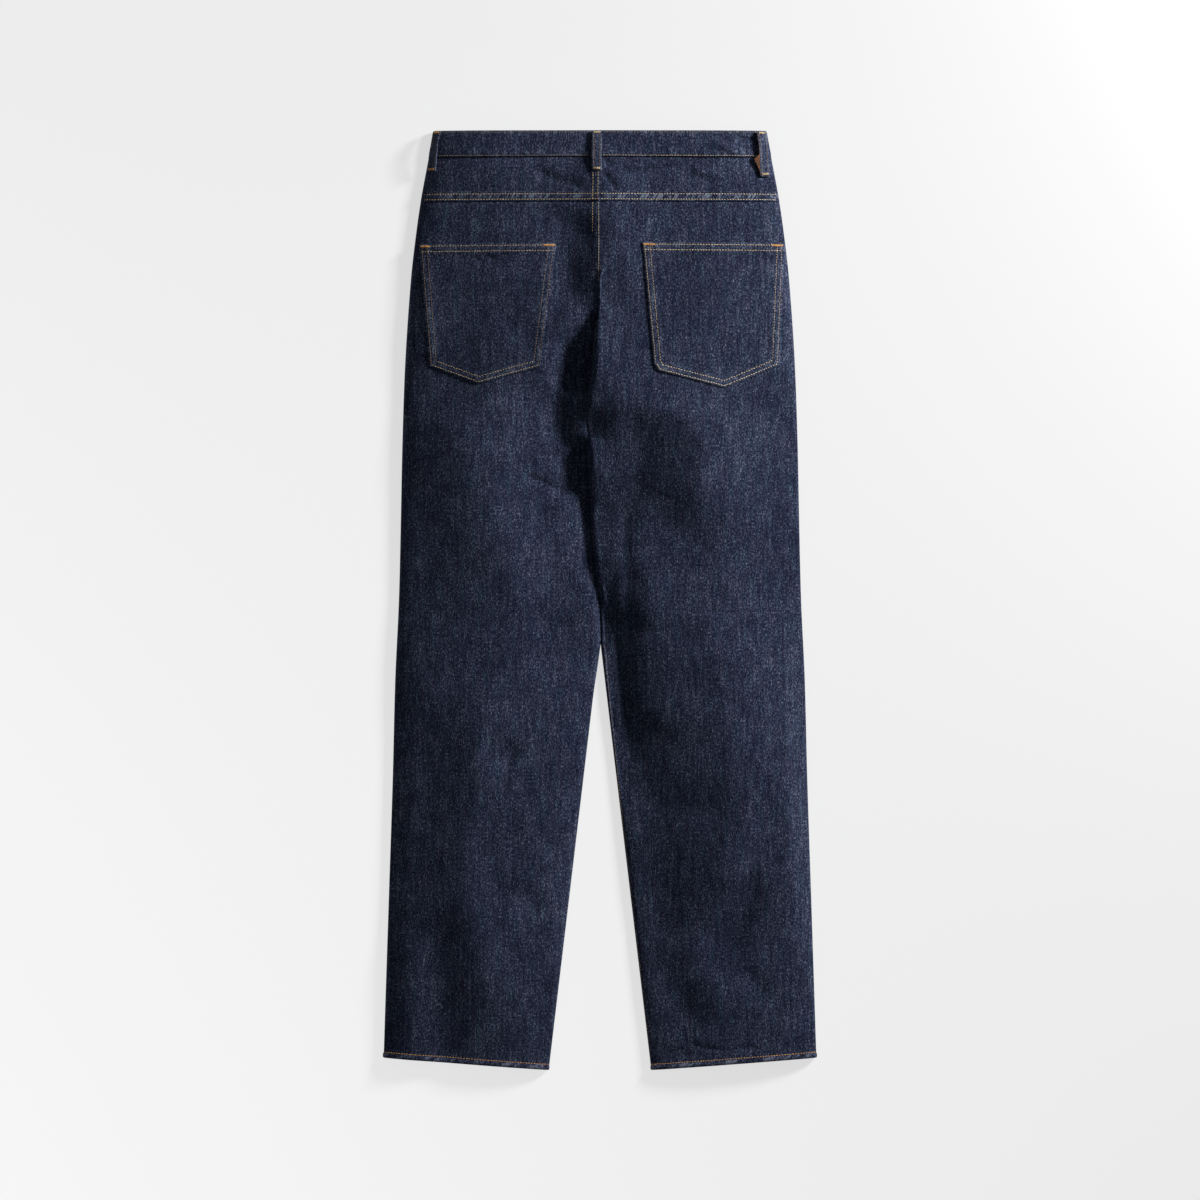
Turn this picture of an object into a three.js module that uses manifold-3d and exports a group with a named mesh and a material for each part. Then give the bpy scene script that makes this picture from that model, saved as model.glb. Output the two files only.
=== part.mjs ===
// Wide leg jeans in dark denim, laid flat on their front with the back upward.
// Millimetres. +Z is up, +Y runs towards the waist and +X towards the wearer's right side.
// "down" is the distance below the waist edge, and "in" the distance in from a side seam or an inseam.

import * as THREE from "three";
import { mergeVertices } from "three/addons/utils/BufferGeometryUtils.js";
import Module from "manifold-3d";

const wasm = await Module();
wasm.setup();

// ---------------------------------------------------------------- driving dimensions

const LENGTH = 1070;
const CLOTH = 1.2;
const BAND_CLOTH = 2.4;
const GAP = 0.3;
const BAND_DEEP = 30;
const YOKE_SEAM = 76;
const CROTCH = 425;
const LEGS_PART = 583;
const LEG_SPREAD = 0.119;
const INSEAM_GAP = 0.5;
const HEM_OUTER = 1056;
const HEM_SLOPE = 14;
const HEM_TILT_FROM = 850;

// Height of the side seams and inseams above the floor, and how the cloth rounds away from them.
const SEAM_HEIGHT = 3.2;
const ARCH_REACH = 112;
const ARCH_POWER = 2.5;
const LIP_POWER = 7;

// Valley beside the seat seam: its level floor and its reach on the left, and its steep right side.
const VALLEY = { floor: 3, reach: 60, steepReach: 30 };

// Stretches, below the waist edge, over which one shape turns into the next.
const STAGES = {
  seatSinks: [60, 205],
  foldRolls: [165, 240],
  foldUnrolls: [500, 590],
  legRounds: [490, 620],
  inseamStands: [540, 600],
  frontInseamStands: [CROTCH - 25, CROTCH],
  frontMeetsSeat: [CROTCH - 65, CROTCH],
};

// Outline and height of the laid garment, a row for each section below the waist edge.
const SECTIONS = [
  { down: 0, half: 189.5, tall: 17 },
  { down: 32, half: 195.5, tall: 18 },
  { down: 78, half: 204, tall: 20 },
  { down: 124, half: 210.5, tall: 21.5 },
  { down: 169, half: 215.5, tall: 22.5 },
  { down: 260, half: 221.8, tall: 24 },
  { down: 351, half: 225.1, tall: 24 },
  { down: 443, half: 227, tall: 22 },
  { down: 534, half: 229.2, tall: 20 },
  { down: 625, half: 233.4, tall: 18 },
  { down: 739, half: 236.3, tall: 17 },
  { down: 876, half: 240.8, tall: 16 },
  { down: 1056, half: 246.6, tall: 14 },
  { down: 1070, half: 246.6, tall: 14 },
];

// The right back panel folds over the seat seam: where its fold lies, and how far it laps the seam.
const SEAT_FOLD = [
  { down: 150, lip: 0, lap: 0 },
  { down: 203, lip: -1.6, lap: 1.6 },
  { down: 237, lip: -7, lap: 6 },
  { down: 272, lip: -9, lap: 7 },
  { down: 331, lip: -18.5, lap: 8 },
  { down: 358, lip: -15.2, lap: 8 },
  { down: 405, lip: -11.4, lap: 8 },
  { down: 466, lip: -9.5, lap: 7.5 },
  { down: 505, lip: -5.5, lap: 5.5 },
  { down: 537, lip: -2.3, lap: 2.3 },
  { down: 584, lip: 0, lap: 0 },
];

// Largest ridges (rise above 0) and hollows of the back panels.
const FOLDS = [
  { fromX: -152, fromDown: 640, toX: -152, toDown: 830, width: 34, rise: 7 },
  { fromX: -150, fromDown: 850, toX: -98, toDown: 1010, width: 30, rise: 6 },
  { fromX: -70, fromDown: 700, toX: -62, toDown: 860, width: 30, rise: -4 },
  { fromX: -165, fromDown: 325, toX: -170, toDown: 470, width: 36, rise: 4 },
  { fromX: 52, fromDown: 300, toX: 78, toDown: 430, width: 32, rise: -8 },
  { fromX: 46, fromDown: 520, toX: 70, toDown: 720, width: 32, rise: -6 },
  { fromX: 160, fromDown: 340, toX: 172, toDown: 740, width: 42, rise: 5 },
  { fromX: 195, fromDown: 790, toX: 122, toDown: 945, width: 18, rise: -4 },
];

// Rows of the panels below the waist edge, and columns across them from the side seam inward.
const YOKE_ROWS = [BAND_DEEP + GAP, 45, 60, YOKE_SEAM - GAP / 2];
const BACK_ROWS = [
  YOKE_SEAM + GAP / 2, 98, 122, 146, 170, 195, 220, 246, 272, 300, 331, 362, 395, CROTCH, 460, 500,
  540, LEGS_PART, 630, 690, 750, 810, 870, 935, 1000, HEM_OUTER,
];
const FRONT_ROWS = [
  BAND_DEEP + GAP, 39, 48, 60, 76, 110, 160, 220, 300, 380, 404, CROTCH, 450, 500, LEGS_PART, 680,
  800, 930, HEM_OUTER,
];
const OUTER_COLUMNS = [0, 1.5, 5.5, 15];
const BACK_MID_COLUMNS = [0.1, 0.2, 0.32, 0.45, 0.58, 0.7, 0.81, 0.91];
const FRONT_MID_COLUMNS = [0.14, 0.32, 0.459, 0.536, 0.68, 0.8, 0.93];
const BACK_INNER_COLUMNS = [17, 9, 4, 1.5, 0];
const FIELD_FROM_SEAM = 22;
const FOLD_CREST_DROP = 0.8;
const FRONT_EDGE_COLUMNS = [0, 0.8, 4, 9];

const LOOP = { wide: 11, thick: 1.6, long: 46, stand: 2.4, clear: 0.5, steps: 8 };
const FRONT_LOOP_X = 98;
const LOOP_LIFT = { past: 3, foot: 27, long: 49, end: 74 };
const SIDE_LOOPS = { left: { in: 6.5, lean: 0.08, clear: 0.9 }, right: { in: 6.5, lean: 0.15, clear: 0.9 } };
const BACK_LOOP_X = -3.4;

const BUTTON_LIFT = { past: 3, foot: 46, long: BAND_DEEP, end: 60 };
const BUTTON = {
  head: 8.5, headTall: 3, neck: 2.8, cap: 4.6, capTall: 0.8, down: 15, holeDeep: 12, sides: 24,
};
// Where the band's two ends leave the fronts' line, and their points past the centre front.
const BAND_ENDS = { from: 50, outer: [-30, -12, 0, 10, 18], inner: [34, 24, 12, 0, -12, -20] };

const FLY_SHIELD = { fromX: -38, toX: 8, long: 170, curve: 38 };
const SCOOP = { fromX: 112, deep: 100, facing: 22, past: 10, steps: 8 };

const POCKETS = {
  left: [
    { x: -205, down: 130 }, { x: -50.5, down: 129 }, { x: -68.5, down: 269 },
    { x: -138.5, down: 288 }, { x: -193.5, down: 268 },
  ],
  right: [
    { x: 48.5, down: 127 }, { x: 209, down: 127.5 }, { x: 203.5, down: 267 },
    { x: 141.8, down: 293 }, { x: 67, down: 274 }, { x: 61.5, down: 266 },
  ],
};

const CUT_HEIGHT = 80;
const LEFT = -1;
const RIGHT = 1;

// ---------------------------------------------------------------- small functions

const DENIM = { color: 0x2f3346, roughness: 0.92, metalness: 0 };
const BRASS = { color: 0x9a6b3f, roughness: 0.4, metalness: 0.9 };

function mix(a, b, share) {
  return a + (b - a) * share;
}

// 0 before start, 1 after end, and a smooth step between them.
function ease(value, start, end) {
  const share = THREE.MathUtils.clamp((value - start) / (end - start), 0, 1);
  return share * share * (3 - 2 * share);
}

// A smooth curve through one column of a table, held level past its two ends.
function along(table, column, down) {
  const last = table.length - 1;
  if (down <= table[0].down) {
    return table[0][column];
  }
  if (down >= table[last].down) {
    return table[last][column];
  }
  const next = table.findIndex((row) => row.down > down);
  const slope = (i, j) => (table[j][column] - table[i][column]) / (table[j].down - table[i].down);
  const span = table[next].down - table[next - 1].down;
  const t = (down - table[next - 1].down) / span;
  const startSlope = slope(Math.max(next - 2, 0), next) * span;
  const endSlope = slope(next - 1, Math.min(next + 1, last)) * span;
  const a = table[next - 1][column];
  const b = table[next][column];
  return (2 * t ** 3 - 3 * t ** 2 + 1) * a + (t ** 3 - 2 * t ** 2 + t) * startSlope
    + (3 * t ** 2 - 2 * t ** 3) * b + (t ** 3 - t ** 2) * endSlope;
}

// Rise of a rounded edge of cloth: steep at the edge, level once "reach" is passed.
function arch(inward, reach = ARCH_REACH) {
  const left = 1 - THREE.MathUtils.clamp(inward / reach, 0, 1);
  return Math.sqrt(1 - left ** ARCH_POWER);
}

function foldHeight(x, down) {
  let height = 0;
  for (const fold of FOLDS) {
    const runX = fold.toX - fold.fromX;
    const runDown = fold.toDown - fold.fromDown;
    const reach = ((x - fold.fromX) * runX + (down - fold.fromDown) * runDown) / (runX ** 2 + runDown ** 2);
    const t = THREE.MathUtils.clamp(reach, 0, 1);
    const offX = x - fold.fromX - t * runX;
    const offDown = down - fold.fromDown - t * runDown;
    height += fold.rise * Math.exp(-(offX ** 2 + offDown ** 2) / fold.width ** 2);
  }
  return height;
}

// ---------------------------------------------------------------- outline of the panels

function sideEdge(side, down) {
  return side * along(SECTIONS, "half", down);
}

// Seat seam of the back above the crotch.
function seatSeam(down) {
  return along(SEAT_FOLD, "lip", down) + along(SEAT_FOLD, "lap", down);
}

function legGap(down) {
  const joined = mix(GAP / 2, INSEAM_GAP, innerLipShare(down));
  return joined + LEG_SPREAD * Math.max(down - LEGS_PART, 0);
}

function backInnerEdge(side, down) {
  return seatSeam(down) + side * legGap(down);
}

// The front's centre seam is straight, and meets the seat seam at the crotch.
function frontInnerEdge(side, down) {
  return seatSeam(down) * ease(down, ...STAGES.frontMeetsSeat) + side * legGap(down);
}

// The hems slope down towards the inseams.
function hemTilt(down, share) {
  return down + HEM_SLOPE * share * ease(down, HEM_TILT_FROM, HEM_OUTER);
}

function place(x, down, z) {
  return new THREE.Vector3(x, LENGTH / 2 - down, z);
}

// ---------------------------------------------------------------- height of the back

function crownHeight(side, x, down) {
  const inward = Math.max(side * (sideEdge(side, down) - x) - CLOTH / 2, 0);
  const tall = along(SECTIONS, "tall", down) + foldHeight(x, down);
  return SEAM_HEIGHT + GAP / 2 + (tall - SEAM_HEIGHT) * arch(inward);
}

// Middle of the back's cloth over a place: the crown, sunk towards the seat seam or the inseam.
function backHeight(side, x, down) {
  const crown = crownHeight(side, x, down);
  const inward = Math.max(side * (x - backInnerEdge(side, down)) - CLOTH / 2 * legShare(down), 0);
  const asLeg = ease(down, ...STAGES.legRounds);
  const left = ease(inward, VALLEY.floor, VALLEY.reach);
  const valley = side === LEFT ? left : arch(inward, VALLEY.steepReach);
  const rise = mix(valley, arch(inward), asLeg);
  const sunk = ease(down, ...STAGES.seatSinks) * (1 - rise);
  const low = SEAM_HEIGHT + mix(CLOTH / 2 + GAP / 2, GAP / 2, asLeg);
  return mix(crown, low, sunk);
}

// 0 where the panels' inner edges butt flat at the centre, 1 where they stand up at an inseam.
function legShare(down) {
  return ease(down, ...STAGES.inseamStands);
}

// Share of the rolled fold in the right back panel's inner edge.
function foldShare(down) {
  return ease(down, ...STAGES.foldRolls) * (1 - ease(down, ...STAGES.foldUnrolls));
}

// One row of points across a back panel, from the side seam to the seat seam or inseam.
function backRow(side, rowDown, wall = CLOTH) {
  const points = [];
  const add = (share, x) => {
    const down = hemTilt(rowDown, share);
    points.push(place(x, down, backHeight(side, x, down)));
  };
  const innerDown = hemTilt(rowDown, 1);
  const outer = sideEdge(side, rowDown) - side * wall / 2;
  const inner = backInnerEdge(side, innerDown) + side * wall / 2 * legShare(innerDown);
  const fieldInner = inner + side * FIELD_FROM_SEAM;
  OUTER_COLUMNS.forEach((inward) => add(0, outer - side * inward));
  const first = outer - side * OUTER_COLUMNS.at(-1);
  BACK_MID_COLUMNS.forEach((share) => add(share, mix(first, fieldInner, share)));
  BACK_INNER_COLUMNS.forEach((inward) => add(1, inner + side * inward));
  if (side === RIGHT) {
    rollInnerEdge(points, rowDown);
  }
  return points;
}

// Turns the last points of a right back row under, round the fold that laps the seat seam.
function rollInnerEdge(points, down) {
  const share = foldShare(down);
  const seam = backInnerEdge(RIGHT, down);
  const lap = along(SEAT_FOLD, "lap", down) + legGap(down);
  const low = SEAM_HEIGHT + CLOTH / 2 + GAP / 2 + CLOTH + GAP;
  const top = backHeight(RIGHT, seam + FIELD_FROM_SEAM, down) - FOLD_CREST_DROP;
  const count = BACK_INNER_COLUMNS.length;
  const first = points.length - count;
  for (let step = 0; step < count; step += 1) {
    const angle = Math.PI * (0.5 - step / (count - 1));
    const x = seam - lap * Math.cos(angle);
    const z = mix(low, top, (1 + Math.sin(angle)) / 2);
    points[first + step].lerp(place(x, down, z), share);
  }
}

// ---------------------------------------------------------------- height of the front

// 1 over a small thing of that half width, 0 past the lift's foot and below its end.
function bump(offset, half, lift, down) {
  const across = 1 - ease(Math.abs(offset), half + lift.past, lift.foot);
  return across * (1 - ease(down, lift.long, lift.end));
}

// The front rests on the floor, and rises over the waist button and the two front belt loops.
function frontLift(x, down) {
  const overLoop = bump(Math.abs(x) - FRONT_LOOP_X, LOOP.wide / 2, LOOP_LIFT, down);
  const overButton = bump(x, BUTTON.head, BUTTON_LIFT, down);
  return (LOOP.thick + 2 * GAP) * overLoop + (BUTTON.headTall + GAP) * overButton;
}

// The front's edges turn up to the side seams and inseams.
function lipRise(inward) {
  return Math.max(1 - inward / FRONT_EDGE_COLUMNS.at(-1), 0) ** LIP_POWER;
}

function innerLipShare(down) {
  return ease(down, ...STAGES.frontInseamStands);
}

function frontRow(side, rowDown, wall = CLOTH) {
  const points = [];
  const top = SEAM_HEIGHT - GAP / 2;
  const add = (share, x, outward, inward) => {
    const down = hemTilt(rowDown, share);
    const flat = wall / 2 + frontLift(x, down);
    const innerLip = lipRise(inward) * innerLipShare(down);
    const lip = Math.max(lipRise(outward), innerLip);
    points.push(place(x, down, mix(flat, top, lip)));
  };
  const innerDown = hemTilt(rowDown, 1);
  const outer = sideEdge(side, rowDown) - side * wall / 2;
  const inner = frontInnerEdge(side, innerDown) + side * wall / 2 * innerLipShare(innerDown);
  const width = Math.abs(outer - inner);
  FRONT_EDGE_COLUMNS.forEach((inward) => add(0, outer - side * inward, inward, width));
  FRONT_MID_COLUMNS.forEach((share) => add(share, mix(outer, inner, share), width, width));
  [...FRONT_EDGE_COLUMNS].reverse().forEach((inward) => add(1, inner + side * inward, width, inward));
  return points;
}

// ---------------------------------------------------------------- cloth from rows of points

// "face" is 1 where across the row and then down the rows turns about the outward direction, else -1.
function outwardNormals(rows, face) {
  return rows.map((row, i) => row.map((point, j) => {
    const before = rows[Math.max(i - 1, 0)][j];
    const after = rows[Math.min(i + 1, rows.length - 1)][j];
    const first = row[Math.max(j - 1, 0)];
    const second = row[Math.min(j + 1, row.length - 1)];
    const across = second.clone().sub(first);
    const downRows = after.clone().sub(before);
    return across.cross(downRows).normalize().multiplyScalar(face);
  }));
}

// Cloth stands upright at a side seam or an inseam, and is square to the floor at a centre seam.
function panelNormals(rows, face, side, standing) {
  const normals = outwardNormals(rows, face);
  normals.forEach((row, i) => {
    const down = LENGTH / 2 - rows[i].at(-1).y;
    const inner = row.at(-1);
    row[0].set(side, 0, 0);
    inner.setX(0).normalize();
    inner.lerp(new THREE.Vector3(-side, 0, 0), standing(down)).normalize();
  });
  return normals;
}

// A closed wall of cloth about rows of points, "raised" along the outward normals.
function clothOn(rows, normals, face, wall, raised = 0) {
  const columns = rows[0].length;
  const size = rows.length * columns;
  const positions = [];
  const index = [];
  const layer = (offset) => rows.forEach((row, i) => row.forEach((point, j) => {
    const moved = point.clone().addScaledVector(normals[i][j], offset);
    positions.push(moved.x, moved.y, moved.z);
  }));
  const quad = (a, b, c, d) => {
    if (face > 0) {
      index.push(a, b, c, a, c, d);
    } else {
      index.push(a, c, b, a, d, c);
    }
  };
  layer(raised + wall / 2);
  layer(raised - wall / 2);
  for (let i = 0; i + 1 < rows.length; i += 1) {
    for (let j = 0; j + 1 < columns; j += 1) {
      const a = i * columns + j;
      const below = a + columns;
      quad(a, a + 1, below + 1, below);
      index.push(...(face > 0
        ? [size + a, size + below + 1, size + a + 1, size + a, size + below, size + below + 1]
        : [size + a, size + a + 1, size + below + 1, size + a, size + below + 1, size + below]));
    }
  }
  const lastRow = (rows.length - 1) * columns;
  const rim = [];
  for (let j = 0; j + 1 < columns; j += 1) {
    rim.push([j + 1, j], [lastRow + j, lastRow + j + 1]);
  }
  for (let i = 0; i + 1 < rows.length; i += 1) {
    rim.push([i * columns, (i + 1) * columns], [(i + 2) * columns - 1, (i + 1) * columns - 1]);
  }
  rim.forEach(([a, b]) => quad(a, b, size + b, size + a));
  const geometry = new THREE.BufferGeometry();
  geometry.setAttribute("position", new THREE.Float32BufferAttribute(positions, 3));
  geometry.setIndex(index);
  return geometry;
}

function toManifold(geometry) {
  const bare = geometry.clone();
  bare.deleteAttribute("normal");
  bare.deleteAttribute("uv");
  const merged = mergeVertices(bare, 1e-4);
  return new wasm.Manifold(new wasm.Mesh({
    numProp: 3,
    vertProperties: new Float32Array(merged.attributes.position.array),
    triVerts: new Uint32Array(merged.index.array),
  }));
}

function fromManifold(solid) {
  const mesh = solid.getMesh();
  const geometry = new THREE.BufferGeometry();
  geometry.setAttribute("position", new THREE.Float32BufferAttribute(mesh.vertProperties, 3));
  geometry.setIndex([...mesh.triVerts]);
  return geometry;
}

// An upright prism on an outline of { x, down } corners, which cuts cloth to that outline.
function prism(outline) {
  const shape = new THREE.Shape(outline.map(({ x, down }) => new THREE.Vector2(x, LENGTH / 2 - down)));
  const geometry = new THREE.ExtrudeGeometry(shape, { depth: 2 * CUT_HEIGHT, bevelEnabled: false });
  geometry.translate(0, 0, -CUT_HEIGHT);
  return toManifold(geometry);
}

function piece(name, geometry, finish) {
  const mesh = new THREE.Mesh(geometry, new THREE.MeshStandardMaterial(finish));
  mesh.name = name;
  return mesh;
}

function sideName(side) {
  return side === LEFT ? "left" : "right";
}

// ---------------------------------------------------------------- back panels, yokes and pockets

function backPanel(side) {
  const rows = BACK_ROWS.map((down) => backRow(side, down));
  const normals = panelNormals(rows, side, side, legShare);
  return piece(`back_${sideName(side)}`, clothOn(rows, normals, side, CLOTH), DENIM);
}

function yoke(side) {
  const rows = YOKE_ROWS.map((down) => backRow(side, down));
  const normals = panelNormals(rows, side, side, legShare);
  return piece(`yoke_${sideName(side)}`, clothOn(rows, normals, side, CLOTH), DENIM);
}

// Patch pocket: the back panel's own points moved out, cut to the pocket's outline.
function backPocket(side) {
  const outline = POCKETS[sideName(side)];
  const top = Math.min(...outline.map((corner) => corner.down));
  const bottom = Math.max(...outline.map((corner) => corner.down));
  const first = BACK_ROWS.findLastIndex((down) => down < top);
  const end = BACK_ROWS.findIndex((down) => down > bottom) + 1;
  const columns = OUTER_COLUMNS.length + BACK_MID_COLUMNS.length;
  const rows = BACK_ROWS.map((down) => backRow(side, down));
  const normals = panelNormals(rows, side, side, legShare);
  const under = rows.slice(first, end).map((row) => row.slice(0, columns));
  const outward = normals.slice(first, end).map((row) => row.slice(0, columns));
  const moved = toManifold(clothOn(under, outward, side, CLOTH, CLOTH + GAP));
  const pocket = moved.intersect(prism(outline));
  return piece(`back_pocket_${sideName(side)}`, fromManifold(pocket), DENIM);
}

// ---------------------------------------------------------------- fronts, facings and fly

// Mouth of a front pocket: a quarter ellipse from the waistband to the side seam, grown by a margin.
function scoopOutline(side, margin) {
  const edge = along(SECTIONS, "half", BAND_DEEP + SCOOP.deep) + SCOOP.past;
  const across = edge - SCOOP.fromX + margin;
  const above = BAND_DEEP - SCOOP.past;
  const outline = [{ x: side * edge, down: above }, { x: side * (edge - across), down: above }];
  for (let step = 0; step <= SCOOP.steps; step += 1) {
    const angle = (Math.PI / 2) * (step / SCOOP.steps);
    const x = side * (edge - across * Math.cos(angle));
    outline.push({ x, down: BAND_DEEP + (SCOOP.deep + margin) * Math.sin(angle) });
  }
  return outline;
}

function frontPanel(side) {
  const rows = FRONT_ROWS.map((down) => frontRow(side, down));
  const normals = panelNormals(rows, -side, side, innerLipShare);
  const panel = toManifold(clothOn(rows, normals, -side, CLOTH));
  const scooped = panel.subtract(prism(scoopOutline(side, 0)));
  return piece(`front_${sideName(side)}`, fromManifold(scooped), DENIM);
}

// Denim facing that shows in the scooped mouth: the front's points moved in, clear of the side seam.
function pocketFacing(side) {
  const end = FRONT_ROWS.findIndex((down) => down > BAND_DEEP + SCOOP.deep + SCOOP.facing) + 1;
  const rows = FRONT_ROWS.slice(0, end).map((down) => frontRow(side, down).slice(2));
  const normals = outwardNormals(rows, -side);
  const moved = toManifold(clothOn(rows, normals, -side, CLOTH, -CLOTH - GAP));
  const facing = moved.intersect(prism(scoopOutline(side, SCOOP.facing)));
  return piece(`front_pocket_facing_${sideName(side)}`, fromManifold(facing), DENIM);
}

// Shield behind the fly: both fronts' points moved in, cut straight down and round at its foot.
function flyShield() {
  const end = FRONT_ROWS.findIndex((down) => down > FLY_SHIELD.long) + 1;
  const rows = FRONT_ROWS.slice(0, end).map((down) => [
    ...frontRow(LEFT, down),
    ...frontRow(RIGHT, down).reverse(),
  ]);
  const normals = outwardNormals(rows, 1);
  const moved = toManifold(clothOn(rows, normals, 1, CLOTH, -CLOTH - GAP));
  const above = BAND_DEEP - SCOOP.past;
  const straight = FLY_SHIELD.long - FLY_SHIELD.curve;
  const outline = [{ x: FLY_SHIELD.toX, down: above }, { x: FLY_SHIELD.fromX, down: above }];
  for (let step = 0; step <= SCOOP.steps; step += 1) {
    const angle = (Math.PI / 2) * (step / SCOOP.steps);
    const x = FLY_SHIELD.fromX * Math.cos(angle);
    outline.push({ x, down: straight + FLY_SHIELD.curve * Math.sin(angle) });
  }
  outline.push({ x: FLY_SHIELD.toX, down: FLY_SHIELD.long });
  return piece("fly_shield", fromManifold(moved.intersect(prism(outline))), DENIM);
}

// ---------------------------------------------------------------- waistband and its button

// Front half of the band from a side seam to its end past the centre front. The left end is the
// outer one, over the button's head, and the right end lies inside it.
function bandFrontRow(side, down) {
  const isOuter = side === LEFT;
  const centre = isOuter ? BAND_ENDS.outer : BAND_ENDS.inner;
  const row = frontRow(side, down, BAND_CLOTH).filter((point) => Math.abs(point.x) > BAND_ENDS.from);
  row[0].setZ(SEAM_HEIGHT);
  centre.forEach((x) => {
    const step = isOuter ? 0 : (BAND_CLOTH + GAP) * (1 - ease(x, BAND_ENDS.inner[1], BAND_ENDS.from));
    row.push(place(x, down, BAND_CLOTH / 2 + frontLift(x, down) + step));
  });
  return row;
}

// One folded strip, from its outer end round the left side, the back and the right side.
function waistband() {
  const rows = [0, BAND_DEEP / 2, BAND_DEEP].map((down) => {
    const leftBack = backRow(LEFT, down, BAND_CLOTH).slice(1);
    const rightBack = backRow(RIGHT, down, BAND_CLOTH).slice(1, -1).reverse();
    leftBack.at(-1).setX(0);
    return [...bandFrontRow(LEFT, down).reverse(), ...leftBack, ...rightBack, ...bandFrontRow(RIGHT, down)];
  });
  const strip = toManifold(clothOn(rows, outwardNormals(rows, -1), -1, BAND_CLOTH));
  const radius = BUTTON.neck + GAP;
  const hole = new THREE.CylinderGeometry(radius, radius, BUTTON.holeDeep, BUTTON.sides);
  hole.rotateX(Math.PI / 2);
  hole.translate(0, LENGTH / 2 - BUTTON.down, BUTTON.holeDeep / 2);
  return piece("waistband", fromManifold(strip.subtract(toManifold(hole))), DENIM);
}

// Shank button: a domed head on the outside, a neck through both ends, and its tack's cap inside.
function waistButton() {
  const inside = BUTTON.headTall + 2 * BAND_CLOTH + 3 * GAP;
  const profile = [
    [0, 0], [BUTTON.head - 1.6, 0], [BUTTON.head, 0.9], [BUTTON.head, 2.2],
    [BUTTON.head - 0.9, BUTTON.headTall], [BUTTON.neck, BUTTON.headTall], [BUTTON.neck, inside],
    [BUTTON.cap, inside], [BUTTON.cap - 0.6, inside + BUTTON.capTall], [0, inside + BUTTON.capTall],
  ];
  const points = profile.map(([radius, height]) => new THREE.Vector2(radius, height));
  const geometry = new THREE.LatheGeometry(points, BUTTON.sides);
  geometry.rotateX(Math.PI / 2);
  geometry.translate(0, LENGTH / 2 - BUTTON.down, 0);
  return piece("waist_button", geometry, BRASS);
}

// ---------------------------------------------------------------- belt loops

// A loop on the back, from the waist edge over the band to the yoke, standing off between its ends.
function backLoop(name, side, centreX, clear) {
  const rows = [];
  for (let step = 0; step <= LOOP.steps; step += 1) {
    const share = step / LOOP.steps;
    const down = mix(1, LOOP.long, share);
    const wall = mix(BAND_CLOTH, CLOTH, ease(down, BAND_DEEP, BAND_DEEP + 7));
    const stand = (wall + LOOP.thick) / 2 + clear + LOOP.stand * Math.sqrt(Math.sin(Math.PI * share));
    rows.push([-1 / 2, -1 / 6, 1 / 6, 1 / 2].map((across) => {
      const x = centreX(down) + across * LOOP.wide;
      const slope = backHeight(side, x + 0.5, down) - backHeight(side, x - 0.5, down);
      const outward = new THREE.Vector3(-slope, 0, 1).normalize();
      return place(x, down, backHeight(side, x, down)).addScaledVector(outward, stand);
    }));
  }
  return piece(name, clothOn(rows, outwardNormals(rows, -1), -1, LOOP.thick), DENIM);
}

function sideLoop(side) {
  const lie = SIDE_LOOPS[sideName(side)];
  const centreX = (down) => sideEdge(side, down) - side * (lie.in + lie.lean * down);
  return backLoop(`belt_loop_side_${sideName(side)}`, side, centreX, lie.clear);
}

// A loop under the front, pressed flat between the band and the floor.
function frontLoop(side) {
  const geometry = new THREE.BoxGeometry(LOOP.wide, LOOP.long - 1, LOOP.thick);
  geometry.translate(side * FRONT_LOOP_X, LENGTH / 2 - (LOOP.long + 1) / 2, LOOP.thick / 2);
  return piece(`belt_loop_front_${sideName(side)}`, geometry, DENIM);
}

// ---------------------------------------------------------------- the jeans

const jeans = new THREE.Group();

for (const side of [LEFT, RIGHT]) {
  jeans.add(frontPanel(side));
  jeans.add(pocketFacing(side));
  jeans.add(backPanel(side));
  jeans.add(yoke(side));
  jeans.add(backPocket(side));
  jeans.add(frontLoop(side));
  jeans.add(sideLoop(side));
}
jeans.add(flyShield());
jeans.add(waistband());
jeans.add(waistButton());
jeans.add(backLoop("belt_loop_back", LEFT, () => BACK_LOOP_X, LOOP.clear));

export default jeans;
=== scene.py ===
"""Wide leg jeans in dark denim, laid flat on their front: the looks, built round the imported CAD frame.

Shapes are worked out in millimetres. "down" is the distance below the waist edge, "inward" is the
distance from a side seam or an inseam, and x and z are the frame's own. Meshes are in metres.
"""

import math

import bpy
import numpy as np
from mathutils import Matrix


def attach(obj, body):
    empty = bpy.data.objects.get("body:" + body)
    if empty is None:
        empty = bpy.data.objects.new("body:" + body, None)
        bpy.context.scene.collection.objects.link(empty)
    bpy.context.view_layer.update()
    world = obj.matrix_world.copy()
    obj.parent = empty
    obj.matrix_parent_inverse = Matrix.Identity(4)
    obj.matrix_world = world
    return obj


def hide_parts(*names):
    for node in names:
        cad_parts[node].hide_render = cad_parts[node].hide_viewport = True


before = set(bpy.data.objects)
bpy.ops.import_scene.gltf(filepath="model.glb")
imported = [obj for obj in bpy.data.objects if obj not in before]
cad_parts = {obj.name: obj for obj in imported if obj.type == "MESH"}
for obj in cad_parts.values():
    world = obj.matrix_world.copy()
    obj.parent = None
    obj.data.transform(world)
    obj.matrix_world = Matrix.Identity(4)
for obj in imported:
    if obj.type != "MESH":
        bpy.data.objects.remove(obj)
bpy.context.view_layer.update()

LEFT, RIGHT = -1, 1
SIDE_NAMES = {LEFT: "left", RIGHT: "right"}
MM = 0.001

# ---------------------------------------------------------------- sizes shared with the CAD

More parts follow.
